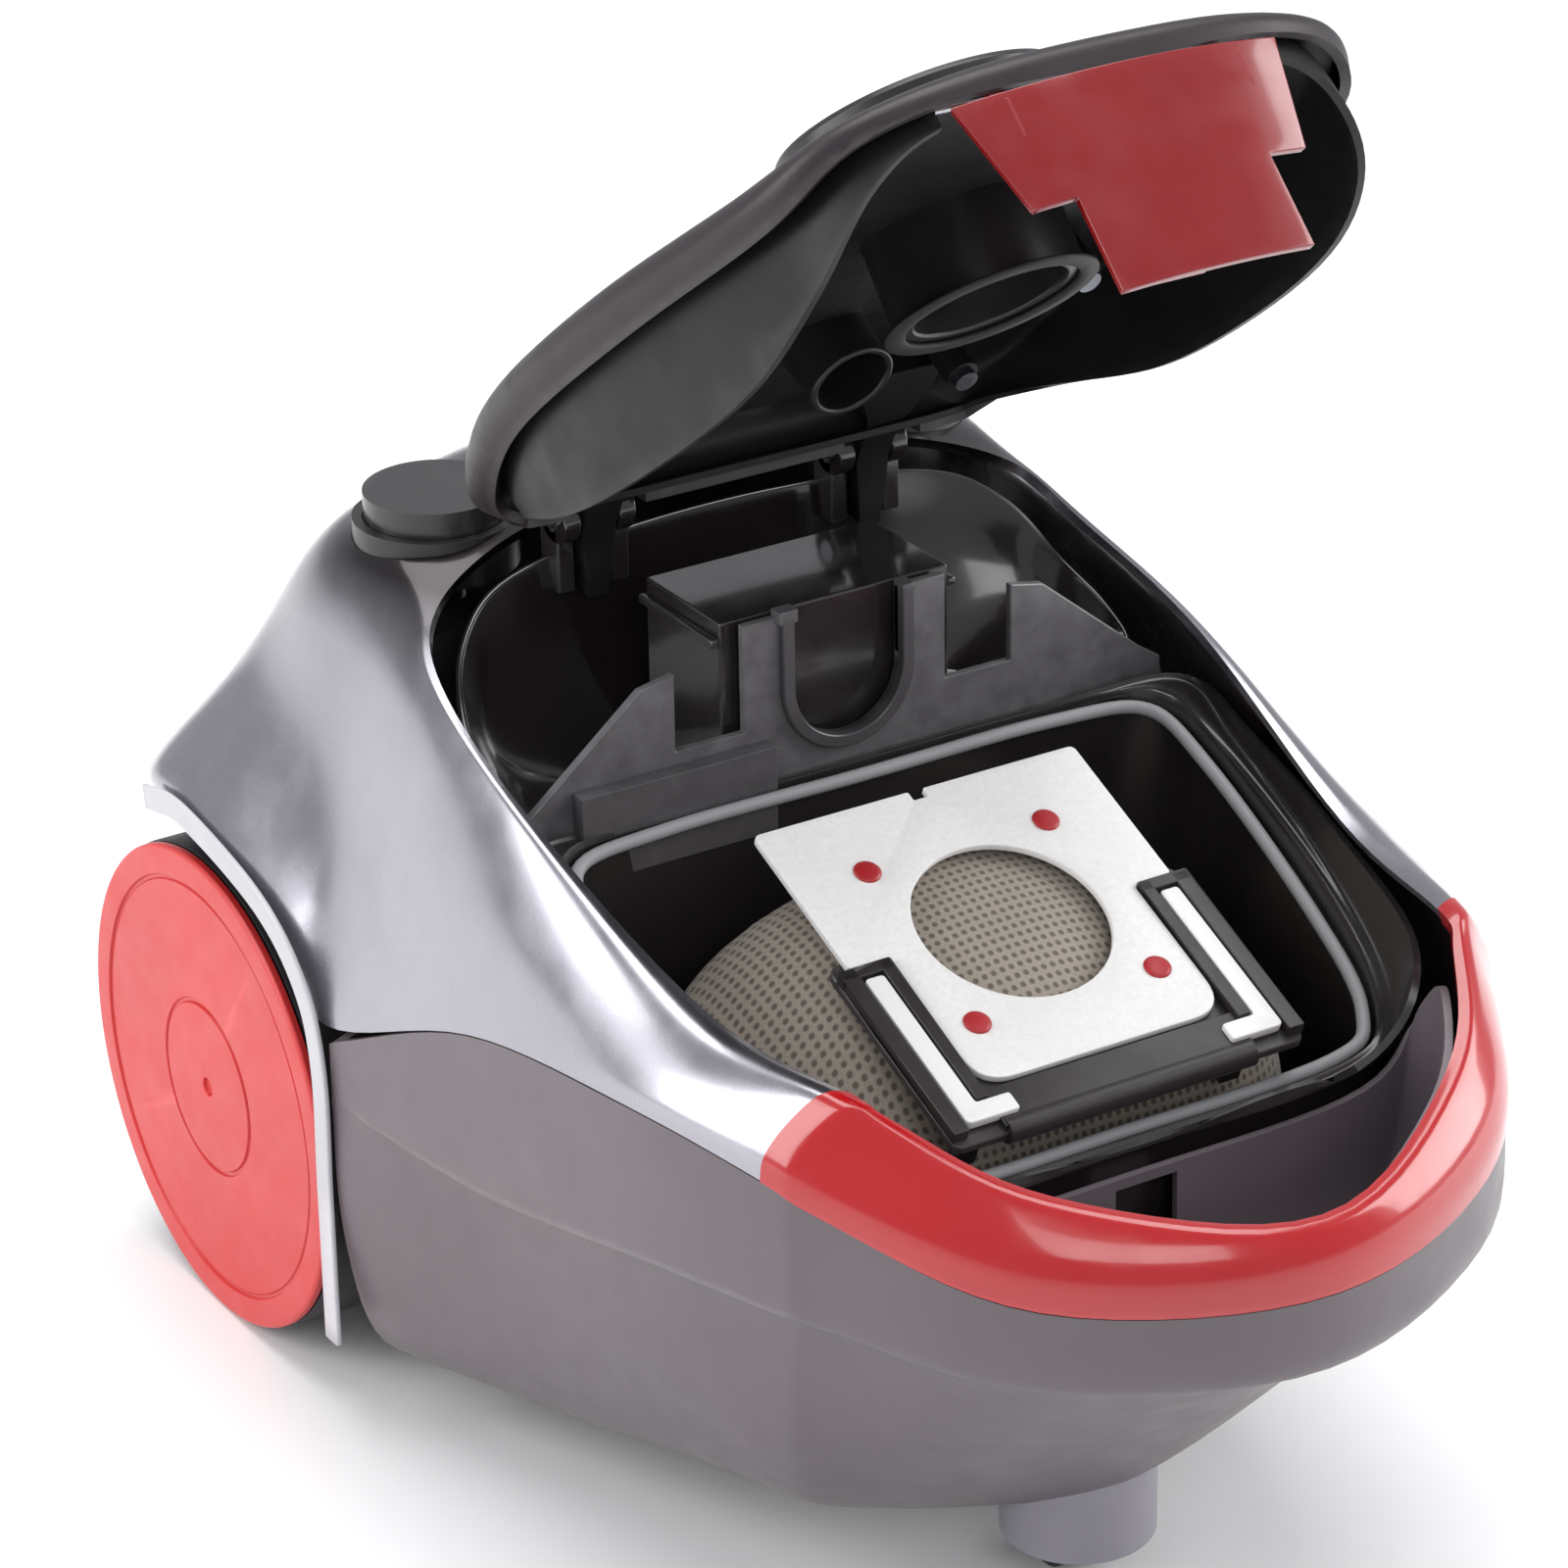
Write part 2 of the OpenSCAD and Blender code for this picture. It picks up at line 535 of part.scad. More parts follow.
module dust_bag() {
    color("#9a9084") stacked(net(bag_rows, 3, 2));
}

// ---- filters and motor ----
module filter_frame() {
    color("#55555a") difference() {
        y_rod(inlet_r + 5, -4.6, -0.4, 0, motor_z);
        y_rod(inlet_r - 3, -20, 20, 0, motor_z);
        y_rod(inlet_r, -2.6, 20, 0, motor_z);
    }
}

module motor_filter() {
    color("#dfe3e6") y_rod(inlet_r - 0.4, -2.5, 3.5, 0, motor_z);
}

module motor_front_mount() {
    color("#1b1b1c") difference() {
        y_rod(shroud_r, 8, 15, 0, motor_z);
        y_rod(shroud_r - 9, 7, 16, 0, motor_z);
    }
}

module fan_shroud() {
    color("#b4b6ba") difference() {
        y_rod(shroud_r, 15.1, shroud_end, 0, motor_z);
        y_rod(shroud_r - 1.6, 17, shroud_end - 2, 0, motor_z);
        y_rod(16, 14, 20, 0, motor_z);
        y_rod(12, shroud_end - 4, shroud_end + 4, 0, motor_z);
    }
}

module motor_can() {
    color("#8d9094") difference() {
        y_rod(can_r, shroud_end, can_end, 0, motor_z);
        y_rod(can_r - 2, shroud_end - 1, can_end - 4, 0, motor_z);
        y_rod(shaft_r + running_gap, can_end - 6, can_end + 1, 0, motor_z);
    }
}

module motor_rear_mount() {
    color("#1b1b1c") difference() {
        y_rod(24, can_end, can_end + 5, 0, motor_z);
        y_rod(8, can_end - 1, can_end + 6, 0, motor_z);
    }
}

module fan_impeller() {
    color("#cfd2d5") difference() {
        union() {
            y_rod(shroud_r - 5, 21, 22.5, 0, motor_z);
            y_rod(shroud_r - 5, 33, 34.5, 0, motor_z);
            y_rod(9, 21, 34.5, 0, motor_z);
            for (k = [0 : 6]) translate([0, 0, motor_z]) rotate([0, k * 360 / 7, 0])
                block([18, 22, -1], [shroud_r - 7, 33.5, 1]);
        }
        y_rod(17, 20, 23, 0, motor_z);
        y_rod(shaft_r, 20, 40, 0, motor_z);
    }
    color("#cfd2d5") difference() {
        y_rod(9, 20.5, 23, 0, motor_z);
        y_rod(shaft_r, 20, 40, 0, motor_z);
    }
}

module motor_shaft() {
    color("#9da1a6") y_rod(shaft_r, 19, can_end + 3, 0, motor_z);
    color("#b56a3a") difference() {
        y_rod(can_r - 14, shroud_end + 14, can_end - 18, 0, motor_z);
        y_rod(shaft_r, 0, far, 0, motor_z);
    }
}

// ---- cord reel ----
module reel_frame() {
    color("#6d6a6e") difference() {
        union() {
            y_slab([[-38, 24], [38, 24], [30, reel_z + 12], [-30, reel_z + 12]], reel_y - 24, reel_y - 21.6);
            y_slab([[-38, 24], [38, 24], [30, reel_z + 12], [-30, reel_z + 12]], reel_y + 21.6, reel_y + 24);
            block([-38, reel_y - 24, 22.6], [38, reel_y + 24, 25]);
        }
        y_rod(reel_axle_r, 0, far, 0, reel_z);
    }
}

module reel_axle() {
    color("#b9bcc0") y_rod(reel_axle_r, reel_y - 25, reel_y + 25, 0, reel_z);
}

module reel_drum() {
    color("#3a3a3d") difference() {
        union() {
            y_rod(reel_r, reel_y - 20, reel_y - 18, 0, reel_z);
            y_rod(reel_r, reel_y + 18, reel_y + 20, 0, reel_z);
            y_rod(reel_r - 24, reel_y - 18, reel_y + 18, 0, reel_z);
        }
        y_rod(reel_axle_r + running_gap, 0, far, 0, reel_z);
        y_rod(reel_r - 27, reel_y - 17, reel_y + 17, 0, reel_z);
    }
}

// Lever that lifts the brake off the reel when the rewind pedal is pressed
module brake_lever() {
    color("#d8d7d3") difference() {
        union() {
            block([65, pedal_y - 7, lever_z - 3], [71, reel_y - 12, lever_z + 3]);
            x_rod(6, 65, 71, lever_y, lever_z);
            block([50, reel_y - 18, lever_z - 3], [71, reel_y - 12, lever_z + 3]);
        }
        x_rod(2 + running_gap, 60, 80, lever_y, lever_z);
    }
}

// ---- pedals ----
module pedal_wells() {
    color("#1f1e20") {
        both_sides() translate([pedal_x, pedal_y, 0]) difference() {
            union() {
                translate([0, 0, 224]) tube(well_r, pedal_r + 0.3, 13);
                translate([0, 0, 224]) tube(well_r, stem_r, 2);
                translate([0, 0, 214]) tube(7, stem_r, 17);
            }
            translate([0, 0, 200]) cylinder(r = stem_r + running_gap, h = 60);
        }
        block([75, 108, 170], [78, 126, 225]);
        x_rod(2, 62, 76, lever_y, lever_z);
        block([-84, 88, 186], [-81.2, 100, 225]);
    }
}

// Springs under the pedals, at their pressed length
module pedal_springs() {
    color("#b9bcc0") both_sides() for (k = [0 : 3])
        translate([pedal_x, pedal_y, 226.1 + spring_pitch * k]) tube(9.6, 8.4, 1.2);
}

module pedal(stem_end) {
    translate([pedal_x, pedal_y, 0]) {
        difference() {
            translate([0, 0, 234]) cylinder(r = pedal_r, h = 10);
            translate([0, 0, 233]) cylinder(r = pedal_r - 2, h = 7.5);
        }
        translate([0, 0, stem_end]) cylinder(r = stem_r, h = 241 - stem_end);
    }
}

module power_pedal() {
    color("#1c1b1d") mirror([1, 0, 0]) pedal(213);
}

module rewind_pedal() {
    color("#1c1b1d") pedal(lever_z + 3.8);
}

module switch_box() {
    color("#2f3236") block([-81, pedal_y - 10, 184], [-55, pedal_y + 10, 208]);
}

// ---- rear outlet side ----
module exhaust_filter() {
    color("#e4e4e0") block([-37, 189, 73], [37, 199, 113]);
}

module exhaust_grille() {
    color("#474347") difference() {
        block([-grille_x + 0.4, 201, grille_z0 + 0.4], [grille_x - 0.4, 205, grille_z1 - 0.4]);
        for (k = [0 : 6]) block([-34, 190, 74 + 5.8 * k], [34, 210, 77 + 5.8 * k]);
    }
}

module cord_outlet() {
    color("#2a292b") difference() {
        union() {
            y_rod(7, 194, L - 0.2, 0, outlet_z);
            y_rod(10, 193, 195.5, 0, outlet_z);
        }
        y_rod(cord_r, 180, far, 0, outlet_z);
    }
}

// ---- rear wheels ----
module wheel_axles() {
    color("#b9bcc0") both_sides() {
        x_rod(axle_r, 71, 116, wheel_y, wheel_r);
        x_rod(8, 70, 72.5, wheel_y, wheel_r);
    }
}

module axle_clips() {
    color("#8f9398") both_sides() difference() {
        x_rod(8, 114.3, 115.3, wheel_y, wheel_r);
        x_rod(axle_r, 100, 120, wheel_y, wheel_r);
    }
}

module wheel() {
    difference() {
        union() {
            difference() {
                x_rod(wheel_r, face_x - 2.6 - wheel_w + 2, face_x - 2.6, wheel_y, wheel_r);
                x_rod(wheel_r - 6, 90, face_x - 5.6, wheel_y, wheel_r);
            }
            x_rod(12, face_x - 2.6 - wheel_w + 2, 114, wheel_y, wheel_r);
            for (a = [0 : 60 : 150]) translate([0, wheel_y, wheel_r]) rotate([a, 0, 0])
                block([104, -wheel_r + 5, -1.5], [face_x - 5, wheel_r - 5, 1.5]);
        }
        x_rod(bore_r, 90, 116.5, wheel_y, wheel_r);
        x_rod(9.5, 114, 118, wheel_y, wheel_r);
    }
}

module hub_cap() {
    difference() {
        x_rod(wheel_r - 0.4, face_x - 2.6, face_x, wheel_y, wheel_r);
        x_ring(59.3, 57.9);
        x_ring(25, 23.6);
        x_rod(2.6, face_x - 1.6, far, wheel_y, wheel_r);
    }
}

module x_ring(outer, inner) {
    difference() {
        x_rod(outer, face_x - 1, far, wheel_y, wheel_r);
        x_rod(inner, face_x - 2, far, wheel_y, wheel_r);
    }
}

module left_wheel() {
    color("#2a282a") mirror([1, 0, 0]) wheel();
}

module right_wheel() {
    color("#2a282a") wheel();
}

module left_hub_cap() {
    color("#e0303a") mirror([1, 0, 0]) hub_cap();
}

module right_hub_cap() {
    color("#e0303a") hub_cap();
}

// ---- caster ----
module caster_socket() {
    color("#8b868c") translate([0, -caster_y, 0]) difference() {
        union() {
            translate([0, 0, 12]) cylinder(r = socket_r, h = 26);
        }
        cylinder(r = socket_r - 2.4, h = 29);
        cylinder(r = swivel_r + running_gap, h = 60);
    }
}

module caster_fork() {
    color("#39383a") translate([0, -caster_y, 0]) difference() {
        union() {
            translate([0, 0, 23.4]) cylinder(r = 14, h = 3.2);
            translate([0, 0, 23.4]) cylinder(r = swivel_r, h = 13.6);
            both_sides() block([7.6, caster_trail - 8, 6], [10, caster_trail + 5, 24]);
        }
        x_rod(1.5, -20, 20, caster_trail, caster_r);
    }
}

module caster_axle() {
    color("#b9bcc0") x_rod(1.5, -10, 10, caster_trail - caster_y, caster_r);
}

module caster_wheel() {
    color("#232224") difference() {
        x_rod(caster_r, -7, 7, caster_trail - caster_y, caster_r);
        x_rod(1.5 + running_gap, -20, 20, caster_trail - caster_y, caster_r);
    }
}

// ---- lid ----
module hinge_cuts() {
    both_sides() block([arm_x0 - 6.3, 51, 200], [arm_x1 + 6.3, 90, 250.4]);
}

module lid_cover() {
    color("#343234") opened() difference() {
        walled(lid_grid, moved(lid_grid, -wall), true, false, true);
        on_mouth() translate([0, 0, 22]) cylinder(r = boss_r + 0.2, h = 60);
        hinge_cuts();
    }
}

module lid_liner() {
    skin = net(liner_rows, span_steps, row_steps);
    color("#2b2a2b") opened() difference() {
        union() {
            difference() {
                walled(skin, moved(skin, -liner_wall), true, false, true);
                on_mouth() translate([0, 0, 2]) cylinder(r = tube_r + 0.2, h = 80);
                on_mouth() translate([0, 0, 27.4]) cylinder(r = boss_r + 0.4, h = 40);
                block([-44, -175, 140], [44, -147, 175.5]);
                x_rod(1.5, -50, 50, latch_y, latch_z);
                translate([0, -7, 200]) cylinder(r = 11.6, h = 60);
                hinge_cuts();
            }
            both_sides() {
                hinge_arm();
                translate([60, -30, 205]) cylinder(r = 4.5, h = 13);
                translate([52, 24, 226]) cylinder(r = 4.5, h = 14);
            }
        }
        both_sides() x_rod(hinge_pin_r + running_gap, 20, 60, hinge_y, hinge_z);
        both_sides() translate([60, -30, 200]) cylinder(r = 1.5, h = 14);
        both_sides() translate([52, 24, 220]) cylinder(r = 1.5, h = 14);
    }
}

// Tapered arm that hooks under the deck when the lid is shut
module hinge_arm() {
    hull() {
        x_rod(6, arm_x0, arm_x1, hinge_y, hinge_z, $fn = 32);
        x_rod(3, arm_x0 + 2, arm_x1 - 2, hinge_y + 17, hinge_z - 10.4, $fn = 32);
    }
    hull() {
        x_rod(6, arm_x0, arm_x1, hinge_y, hinge_z, $fn = 32);
        block([arm_x0, 46, 236], [arm_x1, 50, 241]);
    }
    hull() {
        block([arm_x0, 46, 236], [arm_x1, 50, 241]);
        block([arm_x0 - 4, 26, 236.5], [arm_x1 + 4, 36, 243]);
    }
}

module hose_socket() {
    color("#1d1c1e") opened() on_mouth() difference() {
        union() {
            translate([0, 0, 2]) cylinder(r = tube_r, h = boss_h - 2);
            translate([0, 0, 27.6]) cylinder(r = boss_r, h = boss_h - 27.6);
        }
        cylinder(r = hose_r, h = far);
        translate([0, 0, 27]) tube(boss_r - 2.5, tube_r, boss_h - 29.8);
    }
}

module socket_gasket() {
    color("#151516") opened() on_mouth() translate([0, 0, 0.6]) tube(tube_r + 3, tube_r - 2, 1.4);
}

module relief_port() {
    color("#1d1c1e") opened() difference() {
        translate([0, -7, 208]) tube(11.5, 9.5, 30);
        translate([0, -7, 226]) rotate([22, 0, 0]) block([-20, -20, 0], [20, 20, 20]);
    }
}

latch_panel = [[0, 0], [44, 0], [37, -29], [26, -29], [26, -53], [0, -53]];

// Red finger latch hung from a pin behind the lid's front edge
module lid_latch() {
    both = concat(latch_panel, [for (i = [4 : -1 : 1]) [-latch_panel[i][0], latch_panel[i][1]]]);
    color("#c81e26") opened() difference() {
        union() {
            latch_frame() intersection() {
                translate([0, latch_bend, -60]) tube(latch_bend, latch_bend - 2.4, 70);
                translate([0, 14, 0]) rotate([90, 0, 0]) linear_extrude(30) polygon(both);
            }
            latch_frame() block([-7, 1.2, -47], [7, 18.5, -43.5]);
            both_sides() latch_frame() block([26.5, 3.2, -12], [31.5, 9, -1.5]);
            both_sides() x_slab([[-157, 153.5], [-149, 153.5], [-148.5, 163], [-153.2, 163], [-153.2, 158.4],
                [-157, 156.6]], 27, 31);
            both_sides() x_rod(3.3, 26.7, 31.3, latch_y, latch_z);
        }
        x_rod(1.5 + running_gap, -60, 60, latch_y, latch_z);
    }
}

module latch_frame() {
    translate([0, -162, 157.5]) rotate([latch_tilt, 0, 0]) children();
}

module latch_pin() {
    color("#b9bcc0") opened() x_rod(1.5, -44.6, 44.6, latch_y, latch_z);
}

module latch_spring() {
    color("#b9bcc0") opened() difference() {
        x_rod(2.8, -9, 9, latch_y, latch_z);
        x_rod(1.8, -10, 10, latch_y, latch_z);
    }
}

// ---- fasteners ----
module housing_screws() {
    color("#7c7f84") screw_places() {
        translate([0, 0, 11.4]) cylinder(r = 4, h = 2.4);
        translate([0, 0, 11.4]) cylinder(r = 2, h = 14);
    }
}

module lid_screws() {
    color("#7c7f84") opened() both_sides() {
        translate([60, -30, 202.8]) screw();
        translate([52, 24, 223.8]) screw();
    }
}

module screw() {
    cylinder(r = 3.2, h = 2.2);
    cylinder(r = 1.5, h = 9);
}

lower_housing();
upper_housing();
bumper_trim();
arch_trims();
front_tray();
dust_chamber();
chamber_seal();
partition_wall();
motor_cover();
hinge_pins();
bag_holder();
bag_clips();
bag_collar();
collar_rivets();
dust_bag();
filter_frame();
motor_filter();
motor_front_mount();
fan_shroud();
motor_can();
motor_rear_mount();
fan_impeller();
motor_shaft();
reel_frame();
reel_axle();
reel_drum();
brake_lever();
switch_box();
pedal_wells();
pedal_springs();
power_pedal();
rewind_pedal();
exhaust_filter();
exhaust_grille();
cord_outlet();
wheel_axles();
axle_clips();
left_wheel();
left_hub_cap();
right_wheel();
right_hub_cap();
caster_socket();
caster_fork();
caster_axle();
caster_wheel();
lid_cover();
lid_liner();
hose_socket();
socket_gasket();
relief_port();
lid_latch();
latch_pin();
latch_spring();
housing_screws();
lid_screws();
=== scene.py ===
# Looks of the canister vacuum cleaner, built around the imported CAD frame.
# Lengths are in millimetres until a mesh is made, then in metres.
import json
import math

import bmesh
import bpy
import numpy as np
from mathutils import Matrix, Vector


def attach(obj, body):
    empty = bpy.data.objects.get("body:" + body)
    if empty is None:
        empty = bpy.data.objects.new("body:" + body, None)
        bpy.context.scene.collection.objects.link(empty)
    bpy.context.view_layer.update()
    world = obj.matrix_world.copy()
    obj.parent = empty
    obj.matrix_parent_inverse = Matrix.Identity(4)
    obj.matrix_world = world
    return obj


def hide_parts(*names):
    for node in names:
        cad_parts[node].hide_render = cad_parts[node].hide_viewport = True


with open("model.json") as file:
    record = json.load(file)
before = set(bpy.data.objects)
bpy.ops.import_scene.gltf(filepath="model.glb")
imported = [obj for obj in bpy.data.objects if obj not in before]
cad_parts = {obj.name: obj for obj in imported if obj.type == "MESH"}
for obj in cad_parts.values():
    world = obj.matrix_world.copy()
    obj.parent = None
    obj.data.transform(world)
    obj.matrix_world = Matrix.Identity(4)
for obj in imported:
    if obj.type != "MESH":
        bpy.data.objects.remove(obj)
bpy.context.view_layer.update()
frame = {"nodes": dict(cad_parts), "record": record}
cad = frame["nodes"]

MM = 0.001
HALF_LENGTH = 206.0
ARCH_X = 125.0
WALL = 2.6
LINER_WALL = 2.0
WHEEL_R = 68.0
WHEEL_Y = 134.5
FACE_X = 123.8
WHEEL_INNER_X = 99.2
AXLE_R = 5.05
CASTER_Y = 100.0
MOTOR_Z = 106.0
INLET_R = 36
CHANNEL_R = 16
CHANNEL_Z = 208
HINGE = np.array([0.0, 62.0, 242.0])
LID_OPEN = 63.0
ARM_X = 41.0
LATCH_Y, LATCH_Z = -151.5, 164.0
MOUTH = np.array([0.0, -70.0, 170.0])
MOUTH_TILT = 22.6
MOUTH_R = 25.4
PEDAL_X = 68.0
PEDAL_Y = 94.0
SHARP_ANGLE = 32.0


# -------------------- placing points
def tilted(points, degrees, about=0.0):
    """Points turned about a line along X through a point."""
    a = math.radians(degrees)
    p = np.asarray(points, float) - about
    q = p.copy()
    q[..., 1] = math.cos(a) * p[..., 1] - math.sin(a) * p[..., 2]
    q[..., 2] = math.sin(a) * p[..., 1] + math.cos(a) * p[..., 2]
    return q + about


def opened(points):
    return tilted(points, -LID_OPEN, HINGE)


def on_mouth(points):
    """From the bag mouth's own frame: +Z is its normal and -Y runs down to the front."""
    return tilted(points, MOUTH_TILT) + MOUTH


def on_lid_mouth(points):
    return opened(on_mouth(points))


def on_latch(points):
    """From the latch panel's own frame, with the lid open."""
    return opened(tilted(points, 16.2) + np.array([0.0, -162.0, 157.5]))


def along_x(points):
    """Turns a shape lathed about Z to lie about X."""
    p = np.asarray(points, float)
    return np.stack([p[..., 2], p[..., 0], p[..., 1]], -1)


def along_y(points):
    p = np.asarray(points, float)
    return np.stack([p[..., 1], p[..., 2], p[..., 0]], -1)


def mirrored(part):
    points, faces = part
    return np.asarray(points) * [-1, 1, 1], [tuple(reversed(f)) for f in faces]


def placed(part, move):
    return move(part[0]), part[1]


def shifted(part, offset):
    return np.asarray(part[0]) + offset, part[1]


# -------------------- smooth surfaces
def blend4(a, b, c, d, t):
    return 0.5 * (2 * b + (c - a) * t + (2 * a - 5 * b + 4 * c - d) * t**2 + (3 * b - a - 3 * c + d) * t**3)


def loop_curve(points, steps):
    p = np.asarray(points, float)
    n = len(p)
    return np.array([blend4(p[i - 1], p[i], p[(i + 1) % n], p[(i + 2) % n], k / steps)
                     for i in range(n) for k in range(steps)])


def open_curve(points, steps):
    p = np.asarray(points, float)
    q = np.concatenate([[2 * p[0] - p[1]], p, [2 * p[-1] - p[-2]]])
    inner = [blend4(q[i], q[i + 1], q[i + 2], q[i + 3], k / steps)
             for i in range(len(p) - 1) for k in range(steps)]
    return np.array(inner + [p[-1]])


def whole(half):
    p = np.asarray(half, float)
    return np.concatenate([p, p[-2:0:-1] * [-1, 1, 1]])


def eased(grid, rounds):
    """Evens out the curvature. The first and last rows stay where they are across the profile."""
    g = grid.copy()
    for _ in range(rounds):
        g = (np.roll(g, 1, 1) + 2 * g + np.roll(g, -1, 1)) / 4
        g[1:-1] = (g[:-2] + 2 * g[1:-1] + g[2:]) / 4
    return g


def net(rows, steps, rise=6, rounds=3):
    """A smooth grid through rows of half outlines."""
    loops = np.array([loop_curve(whole(half), steps) for half in rows])
    return eased(open_curve(loops, rise), rounds)


def moved(grid, t):
    """The grid offset along its own outward normal."""
    u = np.roll(grid, -1, 1) - np.roll(grid, 1, 1)
    v = np.gradient(grid, axis=0)
    n = np.cross(u, v)
    return grid + t * n / np.maximum(np.linalg.norm(n, axis=2, keepdims=True), 1e-6)


def picked(grid, first, last):
    return grid[:, [c % grid.shape[1] for c in range(first, last + 1)]]


def walled(outer, inner, closed=True, capped=False, crowned=False):
    """A wall between two grids, as points and faces."""
    rows, n = outer.shape[:2]
    half = rows * n
    span = n if closed else n - 1
    o = lambda r, c: r * n + c % n
    i = lambda r, c: half + r * n + c % n
    points = [outer.reshape(-1, 3), inner.reshape(-1, 3)]
    faces = []
    for r in range(rows - 1):
        for c in range(span):
            faces.append((o(r, c), o(r, c + 1), o(r + 1, c + 1), o(r + 1, c)))
            faces.append((i(r, c), i(r + 1, c), i(r + 1, c + 1), i(r, c + 1)))
    m = rows - 1
    if crowned or capped:
        r = m if crowned else 0
        points.append(np.array([outer[r].mean(0), inner[r].mean(0)]))
    for c in range(span):
        if crowned:
            faces.append((2 * half, o(m, c), o(m, c + 1)))
            faces.append((2 * half + 1, i(m, c + 1), i(m, c)))
        else:
            faces.append((o(m, c), o(m, c + 1), i(m, c + 1), i(m, c)))
        if capped:
            faces.append((2 * half, o(0, c + 1), o(0, c)))
            faces.append((2 * half + 1, i(0, c), i(0, c + 1)))
        else:
            faces.append((o(0, c), i(0, c), i(0, c + 1), o(0, c + 1)))
    if not closed:
        for r in range(rows - 1):
            faces.append((o(r, 0), o(r + 1, 0), i(r + 1, 0), i(r, 0)))
            faces.append((o(r, n - 1), i(r, n - 1), i(r + 1, n - 1), o(r + 1, n - 1)))
    return np.concatenate(points), faces


def lathe(profile, steps=96):
    """A closed profile of (radius, height) turned about Z."""
    n = len(profile)
    a = np.linspace(0, 2 * math.pi, steps, endpoint=False)
    points = np.array([[r * math.cos(t), r * math.sin(t), z] for t in a for r, z in profile])
    faces = [(s * n + k, ((s + 1) % steps) * n + k, ((s + 1) % steps) * n + (k + 1) % n, s * n + (k + 1) % n)
             for s in range(steps) for k in range(n)]
    return points, faces


def turned_solid(profile, steps=96):
    """A profile of (radius, height) that starts and ends on the axis, turned about Z."""
    a = np.linspace(0, 2 * math.pi, steps, endpoint=False)
    inner = profile[1:-1]
    n = len(inner)
    points = [[r * math.cos(t), r * math.sin(t), z] for t in a for r, z in inner]
    points += [[0, 0, profile[0][1]], [0, 0, profile[-1][1]]]
    first, last = len(points) - 2, len(points) - 1
    faces = []
    for s in range(steps):
        t = (s + 1) % steps
        faces += [(s * n + k, t * n + k, t * n + k + 1, s * n + k + 1) for k in range(n - 1)]
        faces.append((first, t * n, s * n))
        faces.append((last, s * n + n - 1, t * n + n - 1))
    return np.array(points), faces


def block(low, high):
    x0, y0, z0 = low
    x1, y1, z1 = high
    points = np.array([[x, y, z] for z in (z0, z1) for y in (y0, y1) for x in (x0, x1)], float)
    return points, [(0, 2, 3, 1), (4, 5, 7, 6), (0, 1, 5, 4), (2, 6, 7, 3), (0, 4, 6, 2), (1, 3, 7, 5)]


def swept(path, section, closed=False, up=(0, 0, 1)):
    """A section of (side, up) offsets carried along a path."""
    p = np.asarray(path, float)
    d = np.roll(p, -1, 0) - np.roll(p, 1, 0) if closed else np.gradient(p, axis=0)
    d /= np.linalg.norm(d, axis=1, keepdims=True)
    s = np.cross(d, np.broadcast_to(np.asarray(up, float), d.shape))
    s /= np.maximum(np.linalg.norm(s, axis=1, keepdims=True), 1e-6)
    u = np.cross(s, d)
    q = np.asarray(section, float)
    m, n = len(p), len(q)
    points = (p[:, None] + q[None, :, :1] * s[:, None] + q[None, :, 1:] * u[:, None]).reshape(-1, 3)
    span = m if closed else m - 1
    faces = [(r * n + c, r * n + (c + 1) % n, ((r + 1) % m) * n + (c + 1) % n, ((r + 1) % m) * n + c)
             for r in range(span) for c in range(n)]
    if not closed:
        faces += [tuple(range(n - 1, -1, -1)), tuple(range((m - 1) * n, m * n))]
    return points, faces


def joined(*parts):
    points, faces, at = [], [], 0
    for p, f in parts:
        points.append(np.asarray(p, float))
        faces += [tuple(at + i for i in face) for face in f]
        at += len(p)
    return np.concatenate(points), faces


def rounded(points, radius, steps=5):
    """The polygon with its corners rounded. radius is one number or one for each corner."""
    p = np.asarray(points, float)
    n = len(p)
    radii = [radius] * n if np.isscalar(radius) else radius
    out = []
    for i in range(n):
        a, b, c = p[i - 1], p[i], p[(i + 1) % n]
        u, v = (a - b) / np.linalg.norm(a - b), (c - b) / np.linalg.norm(c - b)
        half = math.acos(max(-1, min(1, float(u @ v)))) / 2
        if radii[i] <= 0 or half > 1.53:
            out.append(b)
            continue
        reach = min(radii[i] / math.tan(half), 0.48 * np.linalg.norm(a - b), 0.48 * np.linalg.norm(c - b))
        for k in range(steps + 1):
            t = k / steps
            out.append((1 - t) ** 2 * (b + u * reach) + 2 * t * (1 - t) * b + t**2 * (b + v * reach))
    return np.array(out)


def circle(r, n=64, centre=(0, 0), clockwise=False):
    s = -1 if clockwise else 1
    return [(centre[0] + r * math.cos(2 * math.pi * k / n), centre[1] + s * r * math.sin(2 * math.pi * k / n))
            for k in range(n)]


# -------------------- meshes
def make_mesh(name, part):
    points, faces = part
    mesh = bpy.data.meshes.new(name)
    mesh.from_pydata([tuple(p) for p in np.asarray(points) * MM], [], faces)
    mesh.validate()
    bm = bmesh.new()
    bm.from_mesh(mesh)
    bmesh.ops.remove_doubles(bm, verts=bm.verts, dist=1e-7)
    bmesh.ops.recalc_face_normals(bm, faces=bm.faces)
    bm.to_mesh(mesh)
    bm.free()
    return mesh


def make_object(name, mesh):
    obj = bpy.data.objects.new(name, mesh)
    bpy.context.scene.collection.objects.link(obj)
    return obj


def settle(obj):
    """Applies the object's modifiers."""
    mesh = bpy.data.meshes.new_from_object(obj.evaluated_get(bpy.context.evaluated_depsgraph_get()))
    obj.modifiers.clear()
    old = obj.data
    obj.data = mesh
    bpy.data.meshes.remove(old)


